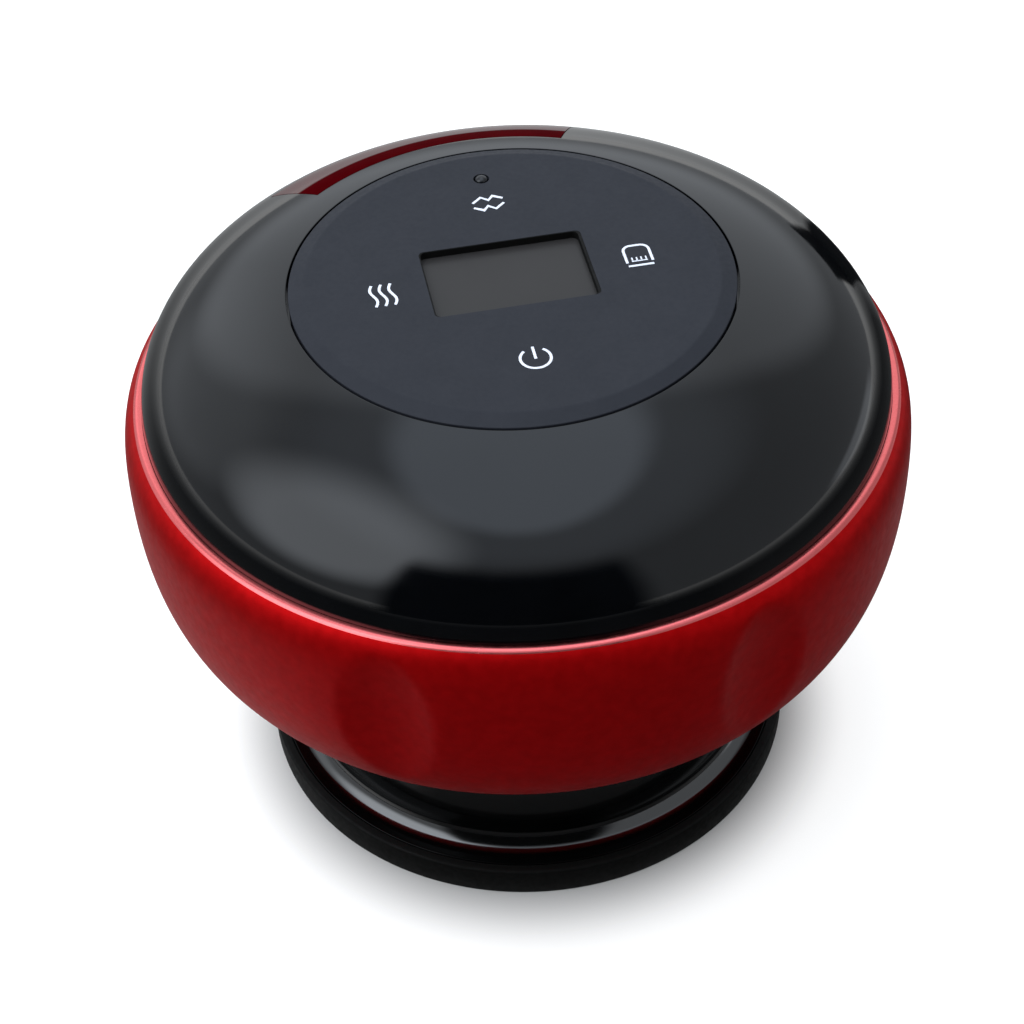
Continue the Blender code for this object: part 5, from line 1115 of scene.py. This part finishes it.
def add_softbox(name, turn, rise, distance, size, radiance, soft, colour, reflected):
    """An oval soft light that looks at the object; its face fades over the soft share."""
    light = bpy.data.lights.new(name, "AREA")
    light.shape = "RECTANGLE"
    light.size, light.size_y = size
    light.energy = radiance * pi * size[0] * size[1]
    light.color = colour
    light.use_nodes = True
    nodes, links = light.node_tree.nodes, light.node_tree.links
    face = nodes.new("ShaderNodeNewGeometry")
    centred = nodes.new("ShaderNodeVectorMath")
    centred.operation = "SUBTRACT"
    centred.inputs[1].default_value = (FACE_MIDDLE, FACE_MIDDLE, 0)
    reach = nodes.new("ShaderNodeVectorMath")
    reach.operation = "LENGTH"
    fade = nodes.new("ShaderNodeMapRange")
    fade.interpolation_type = "SMOOTHSTEP"
    fade.inputs["From Min"].default_value = FACE_MIDDLE * (1 - soft)
    fade.inputs["From Max"].default_value = FACE_MIDDLE
    fade.inputs["To Min"].default_value = 1.0
    fade.inputs["To Max"].default_value = 0.0
    links.new(face.outputs["Parametric"], centred.inputs[0])
    links.new(centred.outputs["Vector"], reach.inputs[0])
    links.new(reach.outputs["Value"], fade.inputs["Value"])
    links.new(fade.outputs["Result"], nodes["Emission"].inputs["Strength"])
    lamp = bpy.data.objects.new(name, light)
    lamp.location = stage_point(turn, rise, distance)
    aim = Vector((0, 0, STAGE_CENTRE_Z)) - lamp.location
    lamp.rotation_euler = aim.to_track_quat("-Z", "Y").to_euler()
    lamp.visible_camera = False
    lamp.visible_glossy = reflected
    bpy.context.scene.collection.objects.link(lamp)


def veil_look():
    """A dark card whose edges thin out, as its vertices say."""
    look = bpy.data.materials.new("dark_card_finish")
    look.use_nodes = True
    nodes, links = look.node_tree.nodes, look.node_tree.links
    nodes.clear()
    veil = nodes.new("ShaderNodeAttribute")
    veil.attribute_name = "veil"
    clear = nodes.new("ShaderNodeBsdfTransparent")
    card = nodes.new("ShaderNodeBsdfDiffuse")
    card.inputs["Color"].default_value = (*CARD_COLOUR, 1.0)
    both = nodes.new("ShaderNodeMixShader")
    result = nodes.new("ShaderNodeOutputMaterial")
    links.new(veil.outputs["Fac"], both.inputs["Fac"])
    links.new(clear.outputs["BSDF"], both.inputs[1])
    links.new(card.outputs["BSDF"], both.inputs[2])
    links.new(both.outputs["Shader"], result.inputs["Surface"])
    return look


def veil_at(stops, turn):
    """The veil of a card at a turn, eased between (turn, veil) stops."""
    for (start, first), (end, last) in zip(stops, stops[1:]):
        if turn <= end:
            return first + (last - first) * ease((turn - start) / (end - start))
    return stops[-1][1]


def add_card(name, path, stops, look):
    """A dark curved card seen only in reflections, along a (distance, height, veil) path."""
    shape = bmesh.new()
    veil = shape.verts.layers.float.new("veil")
    first, last = stops[0][0], stops[-1][0]
    rows = []
    for distance, height, share in path:
        row = []
        for step in range(CARD_COLUMNS + 1):
            turn = first + (last - first) * step / CARD_COLUMNS
            angle = radians(turn) + CAMERA_TURN
            corner = shape.verts.new((distance * sin(angle), -distance * cos(angle), height))
            corner[veil] = share * veil_at(stops, turn)
            row.append(corner)
        rows.append(row)
    for near, far in zip(rows, rows[1:]):
        for step in range(CARD_COLUMNS):
            shape.faces.new((near[step], near[step + 1], far[step + 1], far[step]))
    card = add_piece(name, shape, look)
    card.visible_camera = False
    card.visible_diffuse = False
    card.visible_shadow = False
    card.visible_transmission = False


def front_path():
    """The path of the card before the object, which curves over it and fades at its top."""
    path = []
    for row in range(FRONT_ROWS):
        rise = FRONT_ROW_DEGREES * row
        veil = ease((FRONT_TOP_DEGREES - rise) / FRONT_FADE_DEGREES)
        path.append((FRONT_RADIUS * cos(radians(rise)), FRONT_RADIUS * sin(radians(rise)), veil))
    return path


def add_camera():
    """The camera, at the photograph's viewing angle."""
    data = bpy.data.cameras.new("camera")
    data.lens = CAMERA_LENS
    data.sensor_width = SENSOR_WIDTH
    camera = bpy.data.objects.new("camera", data)
    camera.matrix_world = (Matrix.Translation(CAMERA_PLACE)
                           @ Matrix.Rotation(CAMERA_TURN, 4, "Z")
                           @ Matrix.Rotation(pi / 2 - CAMERA_ELEVATION, 4, "X")
                           @ Matrix.Rotation(-CAMERA_ROLL, 4, "Z"))
    bpy.context.scene.collection.objects.link(camera)
    bpy.context.scene.camera = camera


looks = {name: make_finish(name, finish) for name, finish in FINISHES.items()}
paint_foot_reflections(looks["cup_black"])
paint_inlay_fringe_sheen(looks["dark_red"])
dress_cad_nodes(looks)
make_bead(looks["red_bead_painted_highlight"])
make_shell(looks["red_paint"])
make_dome(looks["gloss_black"])
make_accent(looks["dark_red"])
make_panel(looks["slate"])
make_lens(looks["smoked_window"])
make_window_lining(looks["soft_black"])
make_spring(looks["steel"])
make_light_pipe(looks["dark_lens"])
for make_symbol in (power_symbol, heat_symbol, wave_symbol, cup_symbol):
    make_symbol(looks["white_ink"])
make_cup(looks["cup_black"])
make_mouth_ring(looks["soft_black"])

make_floor()
light_world()
for name, lamp in LAMPS.items():
    add_softbox(name, *lamp)
card_look = veil_look()
for name, path, turns in (("near_card", NEAR_PATH, NEAR_TURNS), ("far_card", FAR_PATH, FAR_TURNS),
                          ("stand_card", STAND_PATH, STAND_TURNS),
                          ("front_card", front_path(), FRONT_TURNS)):
    add_card(name, path, turns, card_look)
add_camera()
bpy.context.scene.view_settings.view_transform = "Standard"
